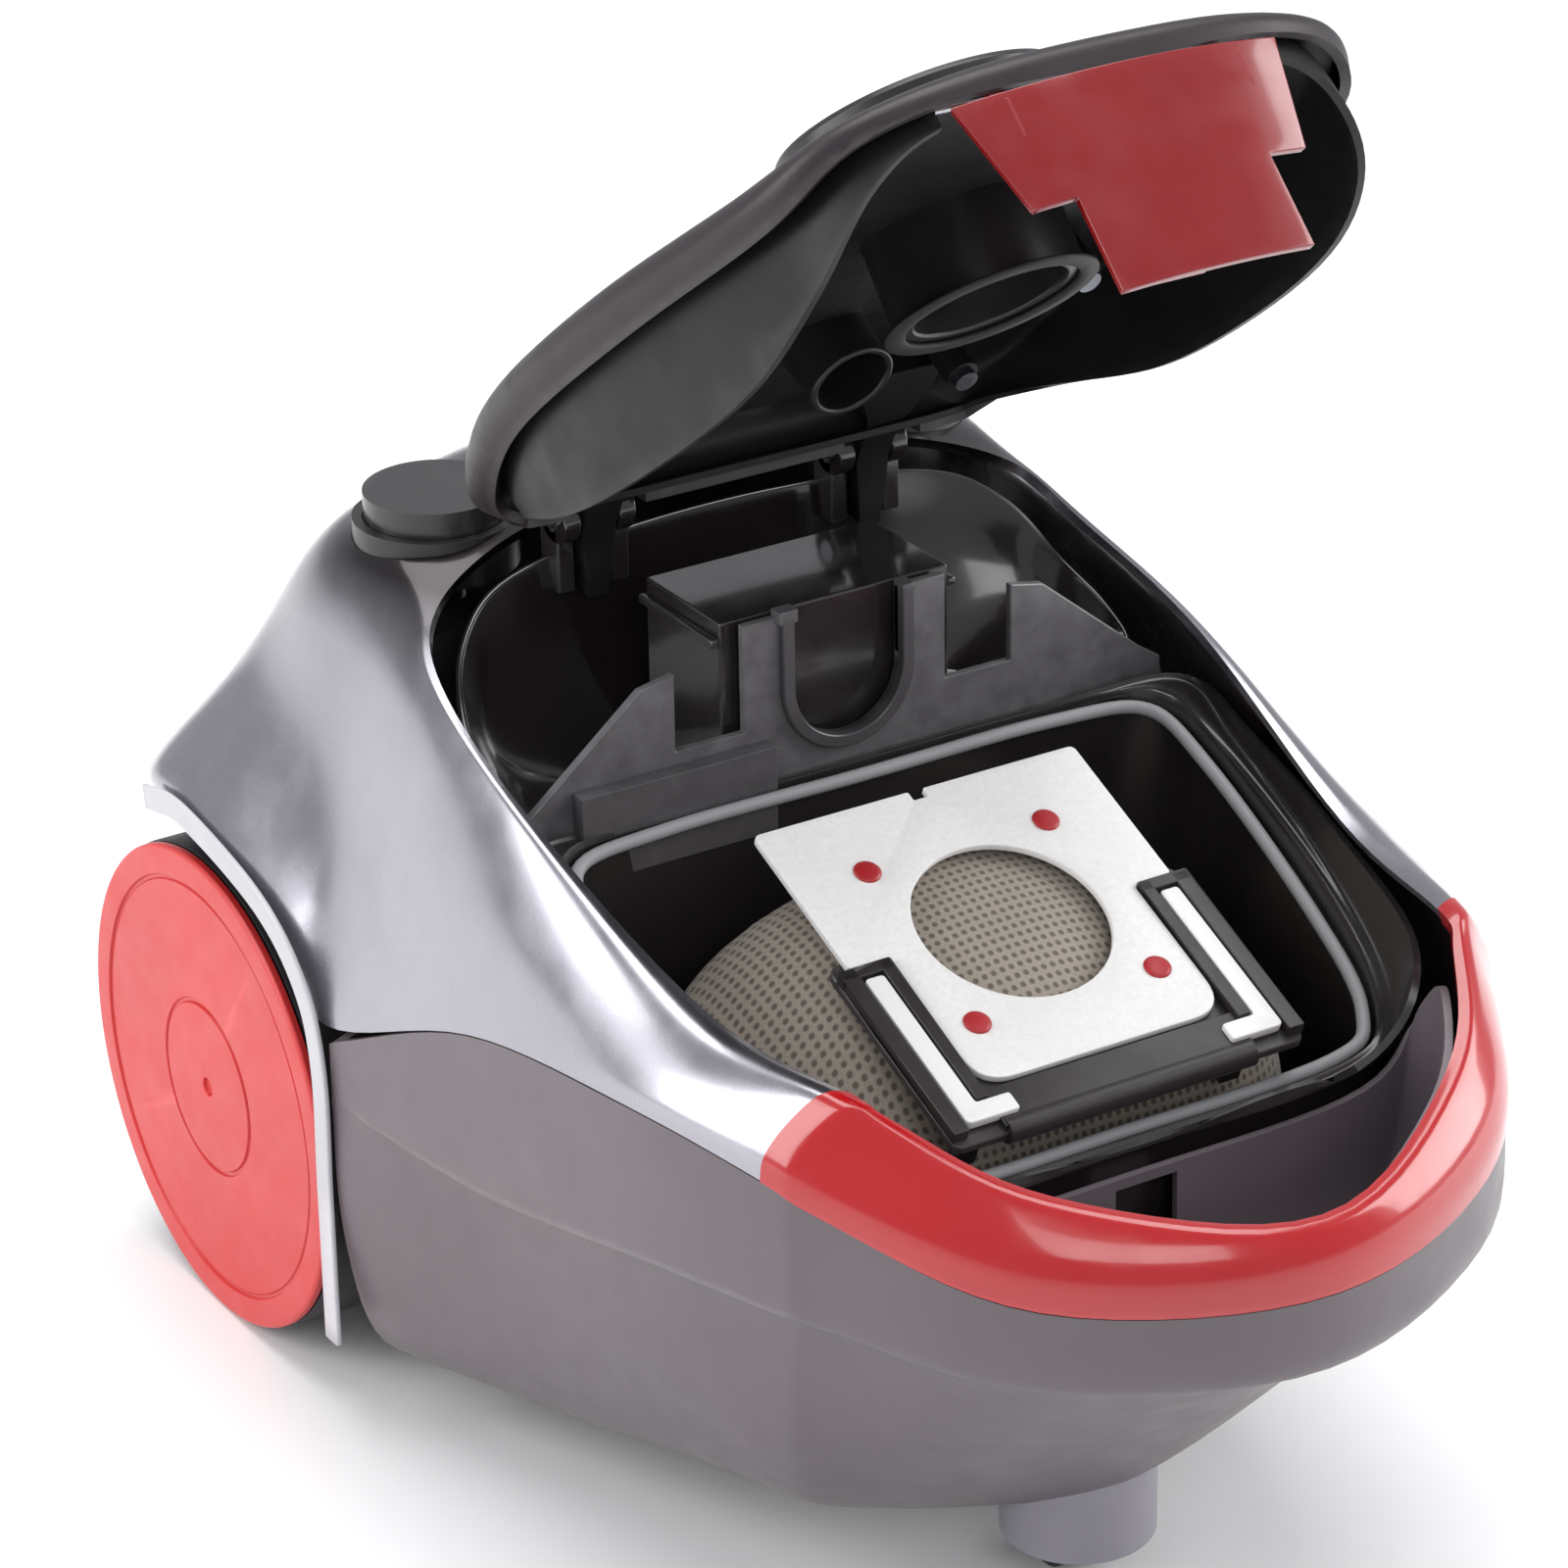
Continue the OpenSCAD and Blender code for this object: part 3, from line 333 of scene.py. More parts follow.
def carved(obj, *cutters):
    """Cuts the closed shapes out of the object."""
    tool = make_object("cutter", make_mesh("cutter", joined(*cutters)))
    mod = obj.modifiers.new("cut", "BOOLEAN")
    mod.object = tool
    mod.operation = "DIFFERENCE"
    mod.solver = "MANIFOLD"
    settle(obj)
    bpy.data.objects.remove(tool)


def edged(obj, width, segments):
    """Rounds the object's sharp edges and shades the rest smooth."""
    obj.data.shade_smooth()
    mod = obj.modifiers.new("edges", "BEVEL")
    mod.width = width * MM
    mod.segments = segments
    mod.limit_method = "ANGLE"
    mod.angle_limit = math.radians(SHARP_ANGLE)
    mod.miter_outer = "MITER_ARC"
    mod.use_clamp_overlap = True
    mod = obj.modifiers.new("normals", "WEIGHTED_NORMAL")
    mod.keep_sharp = True
    mod.weight = 60


def piece(name, part, slot, body, replaces, bevel, segments=2, cut=()):
    """A visible piece in its slot's material, which rides a body in place of CAD nodes."""
    obj = make_object(name, make_mesh(name, part))
    if cut:
        carved(obj, *cut)
    obj.data.materials.clear()
    obj.data.materials.append(MAT[slot])
    if bevel:
        edged(obj, bevel, segments)
    else:
        obj.data.shade_smooth()
    if replaces:
        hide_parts(*replaces)
    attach(obj, body)


def plate(loops, low, high, bevel=0.3):
    """A flat plate with holes in the XY plane, with rounded edges, as points and faces."""
    data = bpy.data.curves.new("plate", "CURVE")
    data.dimensions = "2D"
    data.fill_mode = "BOTH"
    for loop in loops:
        spline = data.splines.new("POLY")
        spline.points.add(len(loop) - 1)
        for point, (x, y) in zip(spline.points, loop):
            point.co = (x, y, 0, 1)
        spline.use_cyclic_u = True
    data.extrude = (high - low) / 2 - bevel
    data.bevel_depth = bevel
    data.bevel_resolution = 1
    data.offset = -bevel
    obj = make_object("plate", data)
    mesh = bpy.data.meshes.new_from_object(obj.evaluated_get(bpy.context.evaluated_depsgraph_get()))
    points = np.array([v.co for v in mesh.vertices]) + [0, 0, (high + low) / 2]
    faces = [tuple(f.vertices) for f in mesh.polygons]
    bpy.data.objects.remove(obj)
    bpy.data.curves.remove(data)
    bpy.data.meshes.remove(mesh)
    return points, faces


# -------------------- materials
def srgb(code):
    """Linear colour of a #rrggbb code."""
    v = [int(code[i:i + 2], 16) / 255 for i in (1, 3, 5)]
    return [c / 12.92 if c <= 0.04045 else ((c + 0.055) / 1.055) ** 2.4 for c in v]


def tinted(colour, k):
    return [min(1.0, c * k) for c in colour] + [1.0]


class Graph:
    """A small helper that adds nodes to a material."""

    def __init__(self, name):
        self.mat = bpy.data.materials.new(name)
        self.mat.use_nodes = True
        self.tree = self.mat.node_tree
        self.shader = self.tree.nodes["Principled BSDF"]
        self.place = self.node("ShaderNodeTexCoord").outputs["Object"]

    def node(self, kind, **values):
        node = self.tree.nodes.new(kind)
        for key, value in values.items():
            setattr(node, key, value)
        return node

    def link(self, a, b):
        self.tree.links.new(a, b)

    def noise(self, scale, detail=2.0, rough=0.5):
        node = self.node("ShaderNodeTexNoise")
        node.inputs["Scale"].default_value = scale
        node.inputs["Detail"].default_value = detail
        node.inputs["Roughness"].default_value = rough
        self.link(self.place, node.inputs["Vector"])
        return node.outputs["Fac"]

    def spread(self, value, low, high, a=0.3, b=0.7):
        node = self.node("ShaderNodeMapRange")
        node.inputs["From Min"].default_value = a
        node.inputs["From Max"].default_value = b
        node.inputs["To Min"].default_value = low
        node.inputs["To Max"].default_value = high
        self.link(value, node.inputs["Value"])
        return node.outputs["Result"]

    def maths(self, operation, a, b=None):
        node = self.node("ShaderNodeMath", operation=operation)
        for socket, value in zip(node.inputs, (a, b)):
            if value is None:
                continue
            if isinstance(value, (int, float)):
                socket.default_value = value
            else:
                self.link(value, socket)
        return node.outputs["Value"]

    def mixed(self, fac, a, b):
        """Colours a and b, each a colour or an output, mixed by fac."""
        node = self.node("ShaderNodeMix", data_type="RGBA")
        sockets = [s for s in node.inputs if s.enabled]
        for socket, value in zip(sockets, (fac, a, b)):
            if isinstance(value, (int, float)):
                socket.default_value = value
            elif isinstance(value, (list, tuple)):
                socket.default_value = list(value) if len(value) == 4 else list(value) + [1.0]
            else:
                self.link(value, socket)
        return [s for s in node.outputs if s.enabled][0]

    def bump(self, height, strength, distance, normal=None):
        node = self.node("ShaderNodeBump")
        node.inputs["Strength"].default_value = strength
        node.inputs["Distance"].default_value = distance * MM
        self.link(height, node.inputs["Height"])
        if normal is not None:
            self.link(normal, node.inputs["Normal"])
        return node.outputs["Normal"]

    def set(self, **values):
        for key, value in values.items():
            self.shader.inputs[key.replace("_", " ")].default_value = value


def moulded(name, code, rough, vary=0.05, rough_vary=0.06, grain=0.1, grain_size=1.2, wear=0.25, mottle=25.0,
            **shader):
    """Moulded plastic: slow colour drift, uneven gloss, fine grain and paler rubbed edges."""
    g = Graph(name)
    colour = srgb(code)
    drift = g.noise(mottle, 3.0)
    base = g.mixed(g.spread(drift, 0.0, 1.0), tinted(colour, 1 - vary), tinted(colour, 1 + vary))
    if wear:
        edge = g.node("ShaderNodeNewGeometry").outputs["Pointiness"]
        patchy = g.spread(g.noise(160.0, 2.0), 0.4, 1.0)
        rub = g.maths("MULTIPLY", g.spread(edge, 0.0, wear, 0.52, 0.62), patchy)
        base = g.mixed(rub, base, [min(1.0, c * 1.5 + 0.10) for c in colour])
    g.link(base, g.shader.inputs["Base Color"])
    g.link(g.spread(g.noise(90.0, 4.0), rough - rough_vary, rough + rough_vary), g.shader.inputs["Roughness"])
    fine = g.noise(1000.0 / grain_size, 2.0)
    g.link(g.bump(fine, grain, 0.05, g.bump(g.noise(45.0, 2.0), 0.12, 0.12)), g.shader.inputs["Normal"])
    g.set(**shader)
    return g.mat


def metal(name, code, rough):
    g = Graph(name)
    colour = srgb(code)
    lines = g.noise(900.0, 3.0, 0.6)
    base = g.mixed(g.spread(g.noise(30.0, 3.0), 0.0, 1.0), tinted(colour, 0.93), tinted(colour, 1.05))
    g.link(base, g.shader.inputs["Base Color"])
    g.link(g.spread(lines, rough - 0.07, rough + 0.09), g.shader.inputs["Roughness"])
    g.link(g.bump(lines, 0.15, 0.02), g.shader.inputs["Normal"])
    g.set(Metallic=1.0)
    return g.mat


def silver_paint():
    """Pearl silver lacquer with fine flakes, with a painted dark reflection towards the tower top."""
    g = Graph("silver_paint")
    colour = srgb("#a3a1a8")
    flakes = g.node("ShaderNodeTexVoronoi")
    flakes.inputs["Scale"].default_value = 2600.0
    g.link(g.place, flakes.inputs["Vector"])
    sparkle = g.spread(flakes.outputs["Distance"], 0.0, 1.0, 0.1, 0.6)
    base = g.mixed(sparkle, tinted(colour, 1.07), tinted(colour, 0.93))
    base = g.mixed(g.spread(g.noise(18.0, 3.0), 0.0, 0.35), base, srgb("#8f8c95"))
    split = g.node("ShaderNodeSeparateXYZ")
    g.link(g.place, split.inputs["Vector"])
    # Painted reflection: above about 206-229 mm the lacquer is blended to near black #2b2628, standing in for
    # the dark lid reflected in it.
    up = g.spread(g.maths("ADD", split.outputs["Z"], g.spread(g.noise(12.0), -0.004, 0.004)),
                  0.0, 1.0, 0.206, 0.229)
    base = g.mixed(up, base, srgb("#2b2628"))
    g.link(base, g.shader.inputs["Base Color"])
    g.link(g.spread(g.noise(70.0, 3.0), 0.20, 0.30), g.shader.inputs["Roughness"])
    g.link(g.bump(g.noise(40.0, 2.0), 0.10, 0.15), g.shader.inputs["Normal"])
    g.set(Metallic=0.93, Coat_Weight=0.5, Coat_Roughness=0.08)
    return g.mat


def woven(name, code, dark, pitch):
    """Cloth with rows of small dark dots, laid out on the piece's own UVs in millimetres."""
    g = Graph(name)
    uv = g.node("ShaderNodeTexCoord").outputs["UV"]
    split = g.node("ShaderNodeSeparateXYZ")
    g.link(uv, split.inputs["Vector"])
    k = 2 * math.pi / pitch
    u = g.maths("SINE", g.maths("MULTIPLY", split.outputs["X"], k))
    v = g.maths("SINE", g.maths("MULTIPLY", split.outputs["Y"], k))
    product = g.maths("MULTIPLY", u, v)
    dots = g.spread(g.maths("ABSOLUTE", product), 0.0, 1.0, 0.45, 0.80)
    fibres = g.noise(1500.0, 3.0, 0.6)
    colour = srgb(code)
    base = g.mixed(g.spread(fibres, 0.0, 1.0), tinted(colour, 0.86), tinted(colour, 1.12))
    base = g.mixed(g.spread(g.noise(28.0, 3.0), 0.0, 0.25), base, tinted(colour, 0.75))
    base = g.mixed(g.maths("MULTIPLY", dots, 0.85), base, srgb(dark))
    g.link(base, g.shader.inputs["Base Color"])
    g.link(g.spread(fibres, 0.79, 0.91), g.shader.inputs["Roughness"])
    height = g.maths("SUBTRACT", g.spread(fibres, 0.0, 0.35), dots)
    g.link(g.bump(height, 0.5, 0.25), g.shader.inputs["Normal"])
    g.set(Sheen_Weight=0.25, Sheen_Roughness=0.5)
    return g.mat


def card():
    """White coated card with faint fibres."""
    g = Graph("collar_card")
    fibres = g.noise(700.0, 4.0, 0.65)
    base = g.mixed(g.spread(fibres, 0.0, 1.0), srgb("#efedea"), srgb("#fbfaf9"))
    base = g.mixed(g.spread(g.noise(22.0, 3.0), 0.0, 0.3), base, srgb("#e2e0dc"))
    g.link(base, g.shader.inputs["Base Color"])
    g.link(g.spread(g.noise(60.0, 3.0), 0.42, 0.55), g.shader.inputs["Roughness"])
    g.link(g.bump(fibres, 0.12, 0.06), g.shader.inputs["Normal"])
    return g.mat


def felt(name, code):
    g = Graph(name)
    colour = srgb(code)
    fibres = g.noise(800.0, 5.0, 0.7)
    base = g.mixed(g.spread(fibres, 0.0, 1.0), tinted(colour, 0.82), tinted(colour, 1.05))
    g.link(base, g.shader.inputs["Base Color"])
    g.link(g.spread(fibres, 0.85, 0.98), g.shader.inputs["Roughness"])
    g.link(g.bump(fibres, 0.6, 0.3), g.shader.inputs["Normal"])
    g.set(Sheen_Weight=0.3, Sheen_Roughness=0.6)
    return g.mat


MOULDED = {
    "housing_dark": ("#5b5257", 0.38, dict(grain=0.16, wear=0.35, Coat_Weight=0.15, Coat_Roughness=0.3)),
    "trim_red": ("#a90d13", 0.20, dict(vary=0.04, grain=0.03, wear=0.15, Coat_Weight=0.6,
                                       Coat_Roughness=0.07)),
    "edge_grey": ("#b6b5b9", 0.36, dict(grain=0.1)),
    "tray_grey": ("#6f666c", 0.42, dict(grain=0.2)),
    "chamber_black": ("#262223", 0.30, dict(grain=0.10, Coat_Weight=0.3, Coat_Roughness=0.15)),
    "seal_grey": ("#9fa0a2", 0.55, dict(grain=0.25, wear=0.0)),
    "partition_grey": ("#484548", 0.32, dict(grain=0.12, wear=0.6, Coat_Weight=0.2, Coat_Roughness=0.2)),
    "cover_black": ("#1d181a", 0.17, dict(grain=0.05, wear=0.4, Coat_Weight=0.7, Coat_Roughness=0.08)),
    "holder_black": ("#2a2526", 0.36, dict(grain=0.15, wear=0.3)),
    "clip_white": ("#f0efed", 0.34, dict(vary=0.02, grain=0.05, wear=0.0)),
    "rivet_red": ("#b0262c", 0.42, dict(grain=0.1, wear=0.1)),
    "filter_frame": ("#55555a", 0.5, dict()),
    "mount_rubber": ("#1d1d1d", 0.7, dict(grain=0.4)),
    "reel_frame": ("#6d6a6e", 0.5, dict()),
    "reel_drum": ("#3a3a3d", 0.45, dict()),
    "lever_white": ("#d8d7d3", 0.45, dict(wear=0.0)),
    "switch_black": ("#2f3236", 0.45, dict()),
    "well_black": ("#1f1c1e", 0.34, dict(grain=0.12, wear=0.3)),
    "pedal_black": ("#232021", 0.30, dict(grain=0.14, wear=0.35, Coat_Weight=0.25, Coat_Roughness=0.2)),
    "grille_grey": ("#474347", 0.42, dict(grain=0.18)),
    "outlet_black": ("#2a292b", 0.45, dict(grain=0.18)),
    "wheel_black": ("#242122", 0.52, dict(grain=0.3)),
    "wheel_red": ("#c22827", 0.42, dict(vary=0.05, grain=0.12, wear=0.3, Coat_Weight=0.12,
                                        Coat_Roughness=0.3)),
    "caster_grey": ("#85818a", 0.38, dict(grain=0.15)),
    "fork_black": ("#39373a", 0.45, dict()),
    "caster_tyre": ("#262425", 0.62, dict(grain=0.4, wear=0.0)),
    "lid_charcoal": ("#2a2427", 0.40, dict(grain=0.14, wear=0.25, Specular_IOR_Level=0.35)),
    "liner_charcoal": ("#171617", 0.46, dict(grain=0.12, wear=0.15, Specular_IOR_Level=0.25)),
    "socket_black": ("#1c1b1d", 0.34, dict(grain=0.12, wear=0.35)),
    "gasket_rubber": ("#161617", 0.6, dict(grain=0.35, wear=0.0)),
    "latch_red": ("#820a0f", 0.18, dict(vary=0.10, grain=0.03, wear=0.6, mottle=14.0, Coat_Weight=0.5,
                                        Coat_Roughness=0.06, Transmission_Weight=0.12, IOR=1.49)),
}
METAL = {
    "shroud_alloy": ("#b4b6ba", 0.32), "motor_steel": ("#9a9da1", 0.30),
    "impeller_alloy": ("#cfd2d5", 0.25), "shaft_steel": ("#a4a8ad", 0.22),
    "spring_steel": ("#b9bcc0", 0.28), "pin_steel": ("#b9bcc0", 0.24), "screw_steel": ("#7c7f84", 0.34),
}
MAT = {name: moulded(name, code, rough, **extra) for name, (code, rough, extra) in MOULDED.items()}
MAT.update({name: metal(name, code, rough) for name, (code, rough) in METAL.items()})
MAT.update(housing_silver=silver_paint(), collar_card=card(), filter_media=felt("filter_media", "#dfe0dc"),
           bag_fabric=woven("bag_fabric", "#a89d8f", "#57504a", 5.2))
for entry in frame["record"]["subparts"]:
    for place in cad[entry["node"]].material_slots:
        place.material = MAT[entry["material_slot"]]


# -------------------- control nets
L = HALF_LENGTH
A = ARCH_X

# Upper housing and bow: seam, lip, flank, shoulder, deck, rim
upper_rows = [
    [[0, -L, 131], [66, -180, 134], [97, -136, 148], [104, -122, 153], [114, -80, 156], [119, -8, 146],
        [A - 1.5, 62, 118], [A - 1.9, 86, 135], [A - 1.9, 138, 148], [108, 178, 142], [0, L, 134]],
    [[0, -L, 137], [66, -180, 141], [97, -136, 154], [103, -122, 159], [113, -80, 161], [118, -8, 152],
        [A - 3, 61, 126], [A - 3, 85, 143], [A - 3, 138, 156], [107, 178, 150], [0, L, 143]],
    [[0, -L + 1, 142], [65, -178, 148], [93, -137, 162], [99, -124, 166], [109, -80, 168], [114, -8, 173],
        [112, 54, 164], [108, 84, 172], [104, 128, 182], [88, 160, 182], [0, 194, 180]],
    [[0, -L + 3, 146], [62, -175, 154], [88, -139, 169], [93, -127, 173], [102, -80, 174], [108, -8, 191],
        [103, 48, 203], [97, 80, 215], [93, 112, 224], [70, 140, 222], [0, 160, 222]],
    [[0, -L + 5, 147], [60, -173, 157], [84, -141, 171], [89, -129, 175], [97, -80, 176], [103, -8, 199],
        [99, 44, 214], [92, 66, 225], [82, 92, 236], [50, 114, 240], [0, 124, 241]],
    [[0, -L + 7, 147], [57, -171, 157], [80, -142, 170], [85, -130, 174], [93, -80, 175], [100, -8, 200],
        [96, 42, 215], [87, 60, 227], [62, 70, 236], [34, 74, 239], [0, 75, 240]]]

# Lower housing: floor, bilge, hull, undercut, belt line, seam
lower_rows = [
    [[0, -112, 27], [28, -100, 27], [47, -88, 26.4], [54, -79, 26], [66, -50, 25], [80, -8, 21],
        [88, 46, 17], [89, 53, 16.5], [87, 57, 16.5], [82, 66, 16], [78, 160, 16], [70, 172, 17],
        [34, 182, 18], [0, 184, 18]],
    [[0, -130, 44], [42, -116, 43], [69, -96, 41], [77, -83, 39], [86, -54, 38], [97, -8, 31],
        [112, 50, 24], [112, 58, 24], [97, 60, 24], [92, 69, 25], [91, 170, 28], [80, 184, 30],
        [40, 196, 32], [0, 198, 32]],
    [[0, -162, 78], [52, -146, 78], [84, -114, 77], [91, -101, 75], [101, -66, 72], [109, -8, 63],
        [A - 3, 51, 60], [A - 5, 59, 60], [98, 61, 60], [95, 70, 62], [94, 170, 66], [84, 188, 68],
        [40, 202, 70], [0, 204, 70]],
    [[0, -193, 105], [62, -169, 108], [90, -128, 112], [97, -116, 113], [107, -76, 111], [113, -8, 98],
        [A - 2, 52, 95], [A - 4, 59, 95], [98, 61, 95], [95, 70, 97], [95, 170, 100], [85, 189, 102],
        [40, 204, 102], [0, L, 102]],
    [[0, -L + 2, 110], [66, -179, 113], [96, -135, 118], [103, -121, 119], [113, -79, 116], [118, -8, 102],
        [A - 1.5, 52, 100], [A - 4, 59, 100], [98, 61, 100], [95, 70, 102], [95, 170, 105], [85, 189, 106],
        [40, 204, 106], [0, L, 106]],
    [[0, -L, 130.6], [66, -180, 133.6], [97, -136, 147.6], [104, -122, 152.6], [114, -80, 155.5],
        [119, -8, 145.4], [A - 1.5, 52, 118.4], [A - 4, 59, 115.6], [98, 61, 126], [95, 70, 148],
        [95, 170, 140], [85, 189, 138], [40, 204, 133], [0, L, 132]]]

# Lid, closed: rim, bevel, shoulder, crown
lid_rows = [
    [[0, -157.4, 160.4], [40, -156.6, 161.2], [66, -146, 162], [80, -122, 164], [89, -70, 188],
        [90, -8, 217], [80.5, 34, 230], [68.5, 48, 232.5], [58, 53, 234], [0, 55, 235]],
    [[0, -159.5, 167], [40, -157.5, 167], [68, -146, 169], [83, -121, 174], [92.5, -68, 198], [94, -8, 225],
        [85, 35.5, 237], [71.5, 50.5, 240], [60, 56, 241], [0, 58, 242]],
    [[0, -150, 173.5], [33, -148, 173.5], [56, -136, 176], [73, -112, 184], [84, -65, 207], [84, -6, 234],
        [75.5, 31, 244.5], [60, 44.5, 247.5], [46, 50, 248], [0, 53, 248]],
    [[0, -110, 184], [18, -108, 185], [28, -98, 190], [34, -78, 200], [38, -48, 216], [40, -2, 236],
        [36, 22, 246], [28, 32, 249], [16, 40, 250], [0, 44, 251]]]

# Lid liner, closed: lower edge of the skirt, rim, shoulder, crown
liner_rows = [
    [[0, -152, 160], [40, -151, 160], [62, -141.5, 155], [76, -118, 147], [82, -78, 153.5], [86, -10, 188],
        [80, 26, 217], [66, 43.5, 231], [56, 48.5, 233], [0, 50.5, 234.5]],
    [[0, -153, 164], [40, -152, 165], [62.5, -141.5, 166.5], [76, -118, 169], [84.5, -70, 191],
        [86.3, -8, 219], [76.5, 32, 232], [65, 44.5, 236], [55.5, 49.5, 237], [0, 51.5, 238.5]],
    [[0, -150, 169], [33, -148, 169], [55, -136, 171], [70, -112, 179], [80.5, -66, 202], [81, -6, 229],
        [72, 29, 240], [58, 41, 243], [45, 46, 244], [0, 49, 244]],
    [[0, -109, 180], [18, -107, 181], [27, -97, 186], [33, -77, 196], [36, -47, 212], [38, -2, 232],
        [34, 21, 242], [27, 31, 245], [16, 38, 246], [0, 42, 247]]]

# Dust chamber, inner face: floor, wall foot, wall, seal lip, side flange, step, rim wall
chamber_rows = [
    [[0, -96, 46], [46, -93, 46], [59, -84, 46], [65, -66, 46], [67, -30, 46], [62, -12, 46], [44, -6, 46],
        [0, -6, 46]],
    [[0, -107, 57], [52, -104, 57], [67, -93, 57], [74, -72, 57], [77, -28, 57], [72, -6, 57], [50, 0, 57],
        [0, 0, 57]],
    [[0, -116, 92], [60, -115, 92], [78, -104, 95], [86, -74, 100], [88, -28, 110], [82, -4, 112],
        [56, 1, 112], [0, 1, 112]],
    [[0, -121, 131], [62, -121, 132], [80, -111, 137], [87, -80, 150], [91, -28, 170], [87, -4, 178],
        [58, 1, 180], [0, 1, 180]],
    [[0, -124, 133], [64, -124, 134], [81, -113, 143], [88, -80, 160], [93, -28, 178], [90, -3, 184],
        [59, 2, 183], [0, 2, 183]],
    [[0, -124.3, 133.4], [64.5, -124.4, 134.4], [83.5, -117, 145], [91, -80, 161.5], [97, -28, 177],
        [97, -2, 184.5], [59.5, 2.6, 184], [0, 2.6, 184]],
    [[0, -124.6, 133.8], [65, -124.8, 134.8], [85, -121, 158], [92.5, -80, 171], [98.2, -28, 181.4],
        [98.4, -1, 186], [60, 3, 185], [0, 3, 185]]]

# Motor cover, inner face: floor, wall foot, rim
cover_rows = [
    [[0, 15, 176], [48, 15, 176], [62, 17, 176], [66, 26, 177], [62, 38, 179], [52, 46, 181], [32, 50, 182],
     [0, 52, 182]],
    [[0, 11, 182], [60, 11, 182], [82, 12, 183], [86, 24, 185], [82, 42, 192], [71, 54, 202], [46, 62, 208],
     [0, 64, 210]],
    [[0, 10.2, 187], [62, 10.2, 187], [90, 11, 190], [92, 24, 198], [90, 41, 205], [81, 55, 220],
     [59, 64, 230], [0, 68, 233]]]

# Open tray inside the bow, inner face: floor, foot, wall, top
tray_rows = [
    [[0, -176, 98], [48, -156, 98], [64, -142, 98], [66, -133, 98], [58, -130, 98], [0, -130, 98]],
    [[0, -184, 104], [50, -162, 104], [70, -143, 106], [73, -131, 106], [64, -128.6, 106], [0, -128.6, 106]],
    [[0, -191, 122], [53, -167, 122], [75, -144, 122], [77, -130.5, 122], [66, -128.3, 120], [0, -128.3, 120]],
    [[0, -195, 143], [54, -169, 150], [76, -143, 160], [79, -131, 150], [66, -128.3, 129], [0, -128.3, 127]]]

# Dust bag: foot, belly rows, shoulder
bag_rows = [
    [[0, -88, 52], [40, -84, 52], [50, -60, 52], [44, -26, 52], [0, -20, 52]],
    [[0, -100, 62], [54, -96, 62], [68, -60, 62], [62, -20, 62], [0, -14, 62]],
    [[0, -106, 96], [60, -101, 96], [76, -60, 96], [70, -18, 96], [0, -12, 96]],
    [[0, -104, 126], [56, -100, 127], [76, -60, 136], [70, -18, 142], [0, -12, 142]],
    [[0, -92, 145], [38, -90, 147], [52, -60, 158], [44, -28, 167], [0, -24, 168]]]


def mouth_ring(r, depth):
    """Half a ring of the bag's neck, at a depth below the mouth."""
    turns = [math.radians(a) for a in (-90, -45, 0, 45, 90)]
    return [list(on_mouth([r * math.cos(a), r * math.sin(a), depth])) for a in turns]


bag_rows += [mouth_ring(r, depth) for r, depth in ((34, -7.5), (24, -4.5), (11, -3))]

STEPS = 8
upper_grid = net(upper_rows, STEPS)
upper_in = moved(upper_grid, -WALL)
lower_grid = net(lower_rows, STEPS, 7, 2)
lid_grid = net(lid_rows, STEPS)
chamber_grid = net(chamber_rows, STEPS)
cover_grid = net(cover_rows, STEPS)
tray_grid = net(tray_rows, STEPS, 6, 2)


def rod(r, low, high, steps):
    """A round cutter along Z."""
    return turned_solid([(0, low), (r, low), (r, high), (0, high)], steps)


def x_tool(r, x0, x1, y, z, steps=64):
    return shifted(placed(rod(r, x0, x1, steps), along_x), [0, y, z])


def y_tool(r, y0, y1, z, steps):
    return shifted(placed(rod(r, y0, y1, steps), along_y), [0, 0, z])


def z_tool(r, z0, z1, x, y, steps=64):
    return shifted(rod(r, z0, z1, steps), [x, y, 0])


def both(part):
    return joined(part, mirrored(part))


def arc_xz(r, first, last):
    """Points every 6 degrees on an arc about the bottom of the partition's channel."""
    turns = [math.radians(t) for t in range(first, last, -6)]
    return [(r * math.cos(t), CHANNEL_Z + r * math.sin(t)) for t in turns]


# -------------------- housing
bow_edge = 3 * STEPS
flank_end = upper_grid.shape[1] - bow_edge
piece("upper_shell",
      walled(picked(upper_grid, bow_edge, flank_end), picked(upper_in, bow_edge, flank_end), False),
      "housing_silver", "housing", ["upper_housing"], 0.8, 3,
      [both(z_tool(21.7, 205, 262, PEDAL_X, PEDAL_Y)),
       both(block([ARM_X - 5.6, 58, 215], [ARM_X + 5.6, 84, 262]))])

bow_out = picked(moved(upper_grid, 0.5), -bow_edge, bow_edge)
bow_in = picked(moved(upper_grid, -4.4), -bow_edge, bow_edge)
piece("bow_trim", walled(bow_out, bow_in, False), "trim_red", "housing", ["bumper_trim"], 1.5, 4)

lower_cuts = [both(x_tool(AXLE_R, 70, 200, WHEEL_Y, WHEEL_R)), z_tool(20.05, -1, 61, 0, -CASTER_Y),
              y_tool(7.2, 180, 400, 48, 48), block([-40, 180, 70], [40, 400, 116])]
lower_cuts += [both(z_tool(2.1, -1, 40, x, y, 24)) for x, y in ((50, -60), (60, 40), (50, 160))]
piece("lower_shell", walled(lower_grid, moved(lower_grid, -WALL), True, True), "housing_dark", "housing",
      ["lower_housing"], 0.7, 3, lower_cuts)

piece("front_pocket", walled(moved(tray_grid, LINER_WALL), tray_grid, True, True), "tray_grey", "housing",
      ["front_tray"], 0.6, cut=[block([-9, -140, 104.5], [9, -120, 124])])

